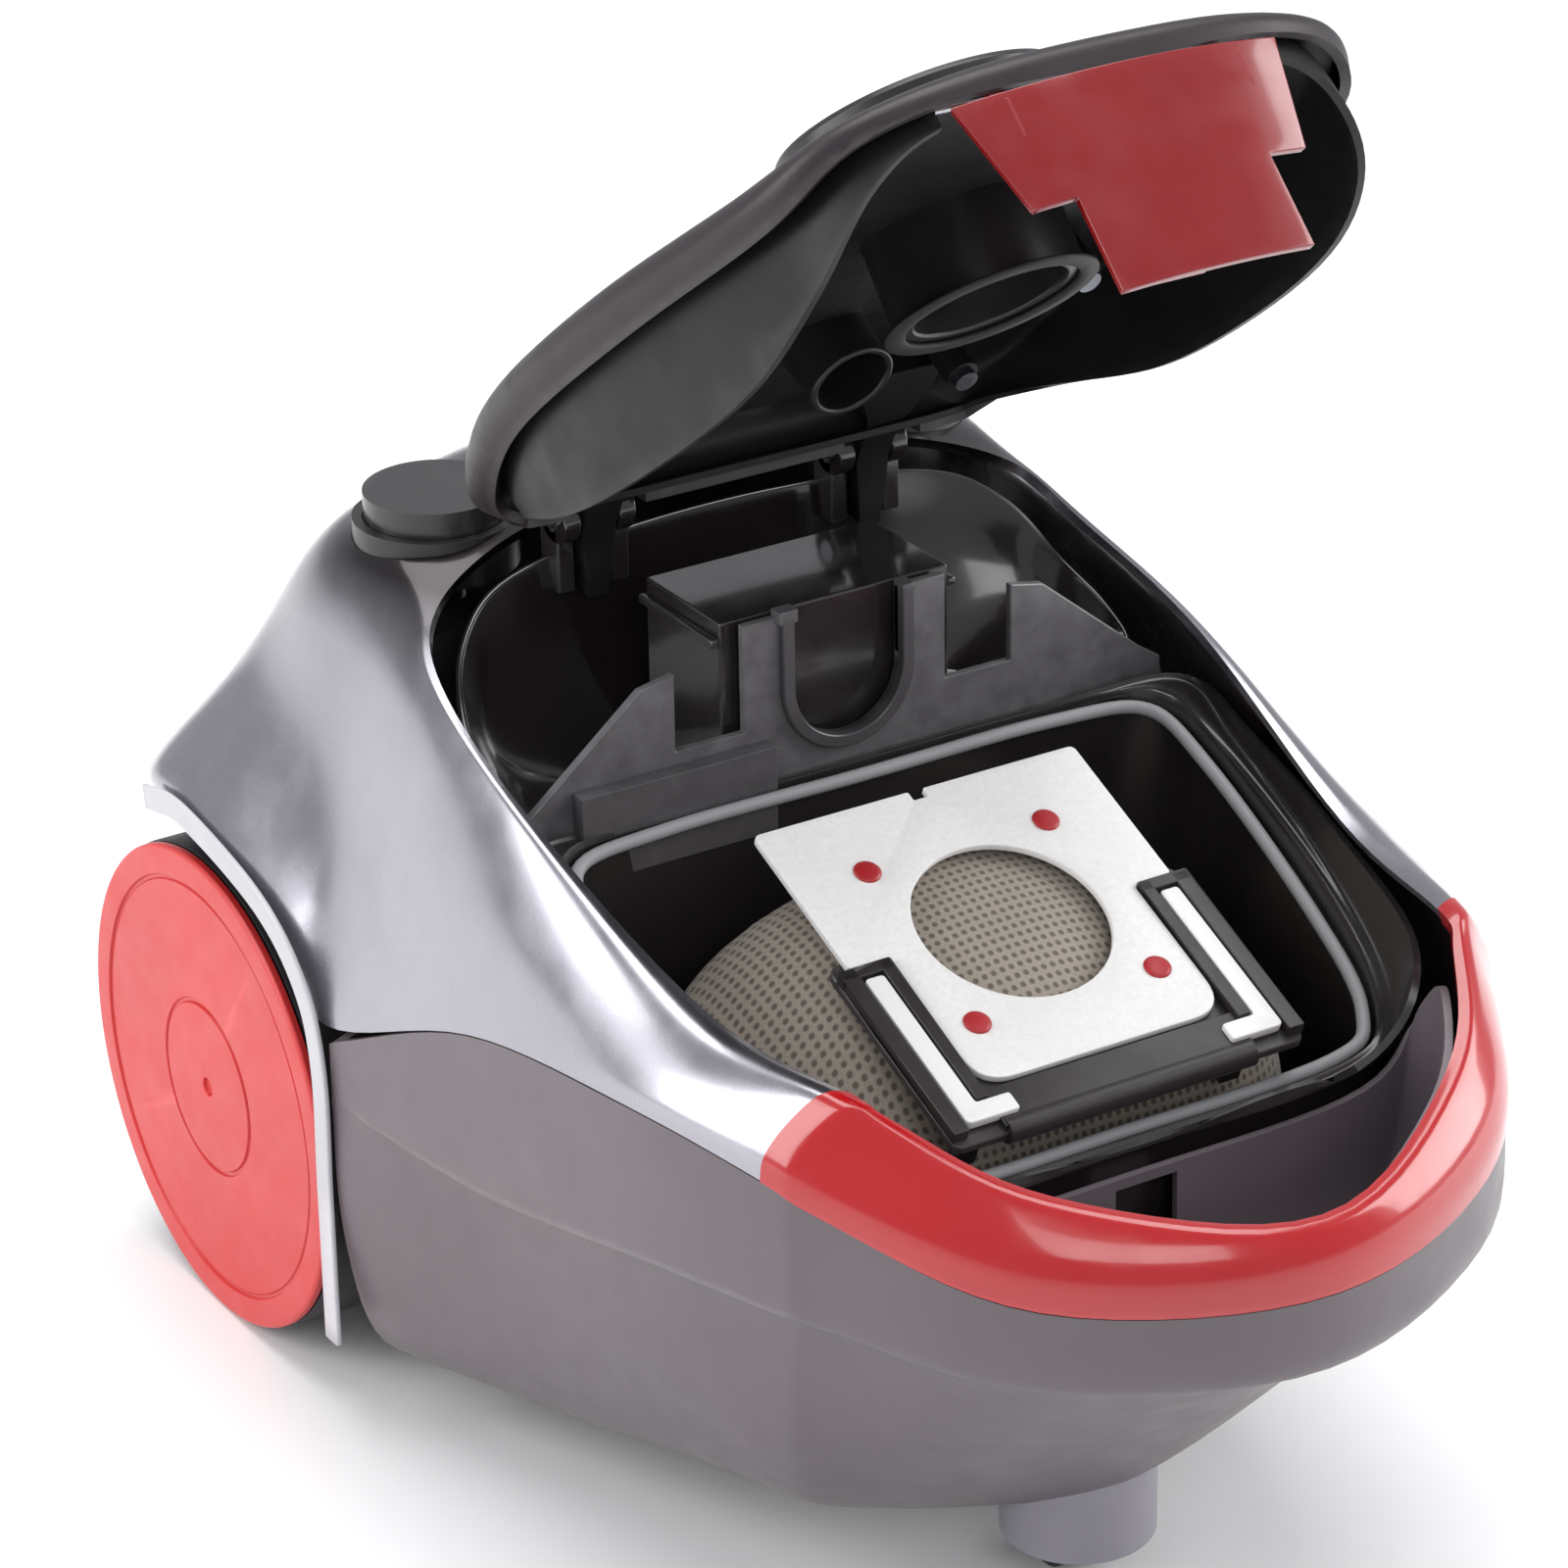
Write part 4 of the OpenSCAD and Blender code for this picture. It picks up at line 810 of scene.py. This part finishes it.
arch = open_curve([[62, 26], [62, 70], [62, 106], [70, 127], [92, 142], [134, 150], [156, 147]], 8)
arch_path = np.stack([np.full(len(arch), ARCH_X + 0.8), arch[:, 0], arch[:, 1]], -1)
strip = swept(arch_path, rounded([(-3.5, -0.8), (3.5, -0.8), (3.5, 0.8), (-3.5, 0.8)], 0.7, 3), up=(1, 0, 0))
piece("arch_strips", both(strip), "edge_grey", "housing", ["arch_trims"], 0)


# -------------------- dust chamber
piece("chamber_tub", walled(moved(chamber_grid, LINER_WALL), chamber_grid, True, True), "chamber_black",
      "housing", ["dust_chamber"], 0.6, cut=[y_tool(INLET_R, -20, 20, MOTOR_Z, 96)])

lip_row = [np.array(p) + [0, 0, 2.2] for p in chamber_rows[3]]
seal_section = [(x - 2.4, y) for x, y in circle(1.8, 12)]
piece("lip_seal", swept(loop_curve(whole(lip_row), STEPS), seal_section, True), "seal_grey", "housing",
      ["chamber_seal"], 0)

wall_edge = [(68, 25), (88, 35), (99, 60), (105, 100), (109, 145), (102, 165), (97, 186), (97, 188.5),
             (91, 192.4), (60, 218), (50, 220), (50, 199), (30, 199), (30, 228), (CHANNEL_R, 228)]
wall_edge += arc_xz(CHANNEL_R, 0, -91)
outline = wall_edge + [(-x, z) for x, z in wall_edge[-2::-1]]
panel = plate([outline, circle(INLET_R, 64, (0, MOTOR_Z), True)], -7.9, -5.5, 0.35)
panel = placed(panel, lambda p: np.stack([p[:, 0], -p[:, 2], p[:, 1]], -1))
rim_r = CHANNEL_R + 1.75
drop = [(rim_r, 229 - 1.75 * k) for k in range(13)]
u_line = drop + arc_xz(rim_r, -6, -180) + [(-rim_r, CHANNEL_Z + 1.75 * k) for k in range(13)]
channel = swept([(x, 5.55, z) for x, z in u_line],
                rounded([(-1.75, -2.35), (1.75, -2.35), (1.75, 2.35), (-1.75, 2.35)], 0.5, 2), up=(0, 1, 0))
ledge = block([-80, 0.6, 172], [-23.5, 5.8, 195.5])
nub = block([-20.5, 3.4, 226.5], [-15.0, 7.7, 230])
piece("partition", joined(panel, channel, ledge, nub), "partition_grey", "housing", ["partition_wall"], 0.3)

hump = block([-34, 10.2, 184], [34, 46, 228])
rails = both(block([34, 10.2, 221.5], [36.5, 46, 224]))
lug = joined(*[joined(block([x, 60, 222], [x + 5, 69, 243]), x_tool(6.5, x, x + 5, HINGE[1], HINGE[2]))
               for x in (ARM_X - 10.5, ARM_X + 5.5)])
hood = walled(moved(cover_grid, LINER_WALL), cover_grid, True, True)
piece("motor_hood", joined(hood, hump, rails, both(lug)), "cover_black", "housing", ["motor_cover"], 0.7, 3)


# -------------------- bag, collar and holder
bay_r = MOUTH_R + 2
bay_turn = math.asin(4 / bay_r)
bay = [(bay_r * math.cos(a), bay_r * math.sin(a)) for a in np.linspace(bay_turn, -math.pi - bay_turn, 48)]
frame_outline = rounded([(-51, -58), (51, -58), (51, 4)] + bay + [(-51, 4)], [3, 3, 4] + [0] * len(bay) + [4])
wall_spans = ((36.6, 40, -48, -1, -2.6, 1), (46.6, 51, -56, -1, -2.6, 1), (36.6, 51, -4, -1, -2.6, 1),
              (36, 42, -50, -46, -22, -4.8))
walls = [block([min(s * a, s * b), y0, z0], [max(s * a, s * b), y1, z1])
         for s in (-1, 1) for a, b, y0, y1, z0, z1 in wall_spans]
front_bar = block([-36.6, -57, -2.6], [36.6, -45, -0.6])
front_barrel = x_tool(3.4, -36, 36, -56.3, -3.4, 32)
holder = joined(plate([frame_outline], -5, -2.4, 0.4), *walls, front_bar, front_barrel)
piece("collar_holder", placed(holder, on_mouth), "holder_black", "housing", ["bag_holder"], 0.5)

arm = rounded([(40.6, -5), (40.6, -48.6), (31, -48.6), (31, -54), (46, -54), (46, -5)],
              [1.2, 0.8, 1, 1, 1.6, 1.2], 4)
arms = both(plate([arm], -1.9, 0.8, 0.35))
piece("collar_arms", placed(arms, on_mouth), "clip_white", "housing", ["bag_clips"], 0)

card_right = [(2.2, 44), (2.2, 47), (47.5, 47), (47.5, 0), (36, 0), (36, -44)]
corner_radii = [0.4, 0.6, 2.0, 1.2, 2.5, 10.0]
card_loop = rounded(card_right + [(-x, y) for x, y in card_right[::-1]], corner_radii + corner_radii[::-1], 8)
collar = plate([card_loop, circle(MOUTH_R, 96, clockwise=True)], -2, 0, 0.25)
piece("collar_card", placed(collar, on_mouth), "collar_card", "housing", ["bag_collar"], 0)

rivet = turned_solid([(0, -2.0), (2, -2.0), (2, 0.05), (3.6, 0.05), (3.5, 0.4), (2.6, 0.7), (0, 0.85)], 32)
rivets = joined(*[shifted(rivet, [x, y, 0]) for x in (-26.4, 26.4) for y in (-26.4, 26.4)])
piece("collar_studs", placed(rivets, on_mouth), "rivet_red", "housing", ["collar_rivets"], 0)


def box_uv(obj):
    """UVs in millimetres, each face seen along its main direction."""
    mesh = obj.data
    layer = mesh.uv_layers.new(name="cloth")
    for face in mesh.polygons:
        axis = max(range(3), key=lambda k: abs(face.normal[k]))
        for loop in face.loop_indices:
            co = mesh.vertices[mesh.loops[loop].vertex_index].co / MM
            layer.data[loop].uv = [(co.y, co.z), (co.x, co.z), (co.x, co.y)][axis]


def stacked(grid):
    """A closed body of stacked outlines."""
    rows, n = grid.shape[:2]
    points = np.concatenate([grid.reshape(-1, 3), [grid[0].mean(0), grid[-1].mean(0)]])
    faces = [(r * n + c, r * n + (c + 1) % n, (r + 1) * n + (c + 1) % n, (r + 1) * n + c)
             for r in range(rows - 1) for c in range(n)]
    faces += [(rows * n, (c + 1) % n, c) for c in range(n)]
    faces += [(rows * n + 1, (rows - 1) * n + c, (rows - 1) * n + (c + 1) % n) for c in range(n)]
    return points, faces


BAG_VOXEL = 4.5
BAG_FRAMES = 20
BAG_REACH = 5


def dust_bag():
    """The bag filled out by a short cloth simulation, each point moving at most BAG_REACH."""
    obj = make_object("paper_bag", make_mesh("paper_bag", stacked(net(bag_rows, 6, 6, 2))))
    remesh = obj.modifiers.new("remesh", "REMESH")
    remesh.mode = "VOXEL"
    remesh.voxel_size = BAG_VOXEL * MM
    settle(obj)
    rest = np.array([v.co for v in obj.data.vertices])
    cloth = obj.modifiers.new("cloth", "CLOTH")
    cloth.settings.use_pressure = True
    cloth.settings.uniform_pressure_force = 3.0
    cloth.settings.effector_weights.gravity = 0
    cloth.settings.quality = 6
    cloth.settings.mass = 0.2
    cloth.settings.bending_stiffness = 0.8
    cloth.point_cache.frame_start = 1
    cloth.point_cache.frame_end = BAG_FRAMES
    for step in range(1, BAG_FRAMES + 1):
        bpy.context.scene.frame_set(step)
    settle(obj)
    bpy.context.scene.frame_set(1)
    now = np.array([v.co for v in obj.data.vertices])
    shift = now - rest
    length = np.linalg.norm(shift, axis=1, keepdims=True)
    now = rest + shift * np.minimum(1, BAG_REACH * MM / np.maximum(length, 1e-9))
    obj.data.vertices.foreach_set("co", now.ravel())
    soft = obj.modifiers.new("soft", "SUBSURF")
    soft.levels = soft.render_levels = 1
    settle(obj)
    box_uv(obj)
    obj.data.materials.append(MAT["bag_fabric"])
    obj.data.shade_smooth()
    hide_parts("dust_bag")
    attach(obj, "housing")


dust_bag()

# -------------------- wheels
# Hub cap as (radius, height), its face up: edge, two grooves and a centre hole
hub_cap = [(0, 0), (67.6, 0), (67.6, 1.7), (67.1, 2.3), (66.2, 2.6), (59.5, 2.6), (59.2, 1.7), (58.2, 1.7),
           (57.9, 2.25), (40, 2.3), (25.2, 2.35), (24.9, 1.6), (23.9, 1.6), (23.6, 2.45), (12, 2.5), (2.9, 2.5),
           (2.6, 2.2), (2.5, 1.3), (0, 1.3)]
cap = shifted(placed(turned_solid(hub_cap, 160), along_x), [FACE_X - 2.6, WHEEL_Y, WHEEL_R])
tread = lathe([(62, 0), (66.2, 0), (67.6, 0.8), (68, 2), (68, 20), (67.7, 21.4), (12, 21.4), (12, 18.6),
               (61, 18.6), (62, 17.5)], 128)
hub = lathe([(AXLE_R, 0), (12, 0), (12, 14.8), (9.5, 14.8), (9.5, 14.7), (AXLE_R, 14.7)], 48)
spoke = block([104, 10, -1.5], [118, 62.5, 1.5])
spokes = joined(*[placed(spoke, lambda p, a=a: tilted(p, a)) for a in range(0, 360, 60)])
body = joined(*[shifted(placed(part, along_x), [WHEEL_INNER_X, WHEEL_Y, WHEEL_R]) for part in (tread, hub)],
              shifted(spokes, [0, WHEEL_Y, WHEEL_R]))
for name, side in (("left", mirrored), ("right", lambda part: part)):
    piece(name + "_disc", side(cap), "wheel_red", name + "_wheel", [name + "_hub_cap"], 0.25)
    piece(name + "_rim", side(body), "wheel_black", name + "_wheel", [name + "_wheel"], 0.4)

cup = lathe([(17.6, 12.4), (18.2, 12), (19.4, 12), (20, 12.6), (20, 37.4), (19.4, 38), (4.05, 38), (4.05, 29),
             (17.6, 29)], 96)
piece("caster_cup", shifted(cup, [0, -CASTER_Y, 0]), "caster_grey", "housing", ["caster_socket"], 0.3)

# -------------------- lid
boss_tool = placed(z_tool(37.2, 22, 90, 0, 0, 96), on_mouth)
hinge_tool = both(block([ARM_X - 11.3, 51, 200], [ARM_X + 11.3, 90, 250.4]))


def lid_piece(name, part, slot, replaces, bevel, cut=(), segments=2):
    """A piece of the lid, drawn shut and turned open together with its cutters."""
    piece(name, placed(part, opened), slot, "lid", replaces, bevel, segments, [placed(c, opened) for c in cut])


lid_piece("lid_shell", walled(lid_grid, moved(lid_grid, -WALL), True, False, True), "lid_charcoal",
          ["lid_cover"], 0.8, [boss_tool, hinge_tool], 3)


def prism(outline, x0, x1):
    """An outline of (y, z) carried from x0 to x1."""
    n = len(outline)
    points = [(x, y, z) for x in (x0, x1) for y, z in outline]
    faces = [(k, (k + 1) % n, n + (k + 1) % n, n + k) for k in range(n)]
    return np.array(points, float), faces + [tuple(range(n - 1, -1, -1)), tuple(range(n, 2 * n))]


def tapered_arm():
    """Arm from the lid's rear skirt, tapering down to the hinge and its hook."""
    widths = [(28, 11), (36, 11), (44, 7), (50, 5), (62, 5), (70, 4.2), (80, 3)]
    top = [243, 243.2, 243, 243, 248, 243, 234]
    low = [235, 235, 235, 236, 236, 232, 228.6]
    points, faces = [], []
    for (y, w), a, b in zip(widths, top, low):
        points += [(ARM_X - w, y, b), (ARM_X + w, y, b), (ARM_X + w, y, a), (ARM_X - w, y, a)]
    m = len(widths)
    for r in range(m - 1):
        faces += [(4 * r + k, 4 * r + (k + 1) % 4, 4 * r + 4 + (k + 1) % 4, 4 * r + 4 + k) for k in range(4)]
    faces += [(3, 2, 1, 0), (4 * m - 4, 4 * m - 3, 4 * m - 2, 4 * m - 1)]
    return np.array(points, float), faces


liner_out = net(liner_rows, STEPS)
liner = walled(liner_out, moved(liner_out, -LINER_WALL), True, False, True)
neck_tools = [placed(z_tool(r, z0, z1, 0, 0, 96), on_mouth) for r, z0, z1 in ((24.2, 2, 82), (37.4, 27.4, 80))]
latch_notch = block([-44, -175, 140], [44, -147, 175.5])
lid_piece("lid_inner", liner, "liner_charcoal", ["lid_liner"], 0.5,
          neck_tools + [latch_notch, z_tool(11.6, 200, 260, 0, -7), hinge_tool])
lid_piece("lid_arms", both(tapered_arm()), "liner_charcoal", (), 1.2,
          [both(x_tool(3.05, 20, 60, HINGE[1], HINGE[2], 48))], 3)
posts = joined(*[shifted(lathe([(1.5, 0), (4.5, 0), (4.5, h), (1.5, h)], 32), place)
                 for place, h in (([60, -30, 205], 12), ([52, 24, 226], 14))])
lid_piece("lid_posts", both(posts), "liner_charcoal", (), 0.3)

socket = lathe([(19, 2.6), (19.6, 2), (23.4, 2), (24, 2.6), (24, 27.6), (37, 27.6), (37, 48.6), (36, 50),
                (34.9, 50), (34.5, 49.6), (34.5, 47.2), (25, 47.2), (24, 48.2), (24, 49.6), (23.6, 50),
                (19.4, 50), (19, 49.6)], 128)
piece("hose_port", placed(socket, on_lid_mouth), "socket_black", "lid", ["hose_socket"], 0.25)
gasket = lathe([(22, 0.9), (22.4, 0.6), (26.6, 0.6), (27, 0.9), (27, 1.7), (26.6, 2), (22.4, 2), (22, 1.7)])
piece("port_gasket", placed(gasket, on_lid_mouth), "gasket_rubber", "lid", ["socket_gasket"], 0)
valve = shifted(lathe([(9.5, 0.5), (10, 0), (11, 0), (11.5, 0.5), (11.5, 30), (9.5, 30)], 64), [0, -7, 208])
slanted_tool = shifted(placed(block([-20, -20, 0], [20, 20, 20]), lambda p: tilted(p, 22)),
                       [0, -7, 226])
lid_piece("valve_port", valve, "socket_black", ["relief_port"], 0.2, [slanted_tool])


# -------------------- latch
LATCH_BEND = 190.0
TONGUE_X = 26
SHOULDER_Z = -29


def latch_surface(depth):
    """Grid points of the latch panel at a depth behind its face, and its faces."""
    levels = [0, -4, -9, -15, -21, -26, SHOULDER_Z, -35, -42, -49, -53]
    points, index, faces = [], {}, []

    def at(key, x, z):
        if key not in index:
            index[key] = len(points)
            y = LATCH_BEND - math.sqrt((LATCH_BEND - depth) ** 2 - x * x)
            points.append((x, y, z))
        return index[key]

    xs = np.linspace(-TONGUE_X, TONGUE_X, 25)
    for r in range(len(levels) - 1):
        for c in range(24):
            faces.append(tuple(at(("m", rr, cc), xs[cc], levels[rr])
                               for rr, cc in ((r, c), (r, c + 1), (r + 1, c + 1), (r + 1, c))))
        if levels[r + 1] < SHOULDER_Z:
            continue
        for s in (-1, 1):
            for c in range(8):
                quad = []
                for rr, cc in ((r, c), (r, c + 1), (r + 1, c + 1), (r + 1, c)):
                    wide = 44 - 7 * levels[rr] / SHOULDER_Z
                    x = s * (TONGUE_X + (wide - TONGUE_X) * cc / 8)
                    key = ("m", rr, 24 if s > 0 else 0) if cc == 0 else (s, rr, cc)
                    quad.append(at(key, x, levels[rr]))
                faces.append(tuple(quad if s > 0 else reversed(quad)))
    return np.array(points, float), faces


def latch_panel():
    """The curved panel with a raised border."""
    points, faces = latch_surface(0)
    mesh = bpy.data.meshes.new("latch_panel")
    mesh.from_pydata([tuple(p * MM) for p in points], [], faces)
    bm = bmesh.new()
    bm.from_mesh(mesh)
    bmesh.ops.recalc_face_normals(bm, faces=bm.faces)
    front = bm.faces[:]
    if sum(f.normal.y for f in front) > 0:
        bmesh.ops.reverse_faces(bm, faces=front)
    bmesh.ops.inset_region(bm, faces=front, thickness=2.2 * MM, depth=0, use_even_offset=True)
    bmesh.ops.inset_region(bm, faces=front, thickness=0.5 * MM, depth=-0.7 * MM, use_even_offset=True)
    bm.to_mesh(mesh)
    bm.free()
    obj = make_object("latch_probe", mesh)
    solid = obj.modifiers.new("wall", "SOLIDIFY")
    solid.thickness = 2.2 * MM
    solid.offset = -1
    settle(obj)
    out = np.array([v.co for v in obj.data.vertices]) / MM
    polygons = [tuple(f.vertices) for f in obj.data.polygons]
    bpy.data.objects.remove(obj)
    return out, polygons


hook_bar = block([-7, 1.2, -47], [7, 18.5, -43.5])
ribs = both(block([26.5, 3.2, -12], [31.5, 9, -1.5]))
ear = prism([(-157, 153.5), (-149, 153.5), (-148.5, 163), (-153.2, 163), (-153.2, 158.4), (-157, 156.6)],
            27, 31)
barrel = x_tool(3.3, 26.7, 31.3, LATCH_Y, LATCH_Z)
latch = joined(placed(joined(latch_panel(), hook_bar, ribs), on_latch),
               placed(both(joined(ear, barrel)), opened))
piece("latch_plate", latch, "latch_red", "latch", ["lid_latch"], 0.35)

# -------------------- carried-over CAD pieces
for name in ("power_pedal", "rewind_pedal", "pedal_wells", "caster_fork", "caster_wheel", "exhaust_grille",
             "cord_outlet"):
    weld = cad[name].modifiers.new("weld", "WELD")
    weld.merge_threshold = 0.00002
    edged(cad[name], 0.6 if "pedal" in name else 0.3, 3)

# -------------------- stage
floor_mesh = bpy.data.meshes.new("floor")
floor_mesh.from_pydata([(-6, -6, 0), (6, -6, 0), (6, 6, 0), (-6, 6, 0)], [], [(0, 1, 2, 3)])
floor = make_object("floor", floor_mesh)
ground = Graph("floor_paint")
cloudy = ground.spread(ground.noise(3.0, 3.0), 0.0, 1.0)
ground.link(ground.mixed(cloudy, (0.86, 0.86, 0.86), (0.89, 0.89, 0.89)), ground.shader.inputs["Base Color"])
ground.set(Roughness=0.75)
floor.data.materials.append(ground.mat)

world = bpy.data.worlds.new("studio")
bpy.context.scene.world = world
world.use_nodes = True
world.node_tree.nodes["Background"].inputs["Color"].default_value = (0.93, 0.95, 1.0, 1.0)
world.node_tree.nodes["Background"].inputs["Strength"].default_value = 0.55


def softbox(name, place, target, size, power):
    data = bpy.data.lights.new(name, "AREA")
    data.shape = "RECTANGLE"
    data.size, data.size_y = size
    data.energy = power
    obj = bpy.data.objects.new(name, data)
    bpy.context.scene.collection.objects.link(obj)
    way = Vector(target) - Vector(place)
    obj.matrix_world = Matrix.Translation(place) @ way.to_track_quat("-Z", "Y").to_matrix().to_4x4()


softbox("top_box", (0.1, 0.3, 1.9), (0, 0, 0.1), (1.8, 1.4), 34)
softbox("left_box", (-1.7, 0.5, 0.9), (0, 0, 0.15), (1.0, 1.5), 22)
softbox("right_box", (1.5, -0.6, 0.8), (0, 0, 0.15), (0.9, 1.3), 20)
softbox("front_box", (-0.6, -2.2, 1.5), (0, 0, 0.15), (1.2, 0.8), 10)

# -------------------- camera
AZIMUTH, ELEVATION, ROLL = -0.547380432, 0.444173621, -0.0174532925
level = Vector((math.cos(AZIMUTH), math.sin(AZIMUTH), 0))
back = Vector((math.sin(AZIMUTH) * math.cos(ELEVATION), -math.cos(AZIMUTH) * math.cos(ELEVATION),
               math.sin(ELEVATION)))
upward = back.cross(level)
right = math.cos(ROLL) * level + math.sin(ROLL) * upward
up = math.cos(ROLL) * upward - math.sin(ROLL) * level
camera_data = bpy.data.cameras.new("camera")
camera_data.sensor_width = 36
camera_data.lens = 135
camera_data.clip_end = 50
camera = bpy.data.objects.new("camera", camera_data)
bpy.context.scene.collection.objects.link(camera)
eye = Vector((-0.022094, 0, 0.184933)) + 1.477536 * back
camera.matrix_world = Matrix(((right.x, up.x, back.x, eye.x), (right.y, up.y, back.y, eye.y),
                              (right.z, up.z, back.z, eye.z), (0, 0, 0, 1)))
bpy.context.scene.camera = camera
bpy.context.scene.view_settings.view_transform = "Standard"
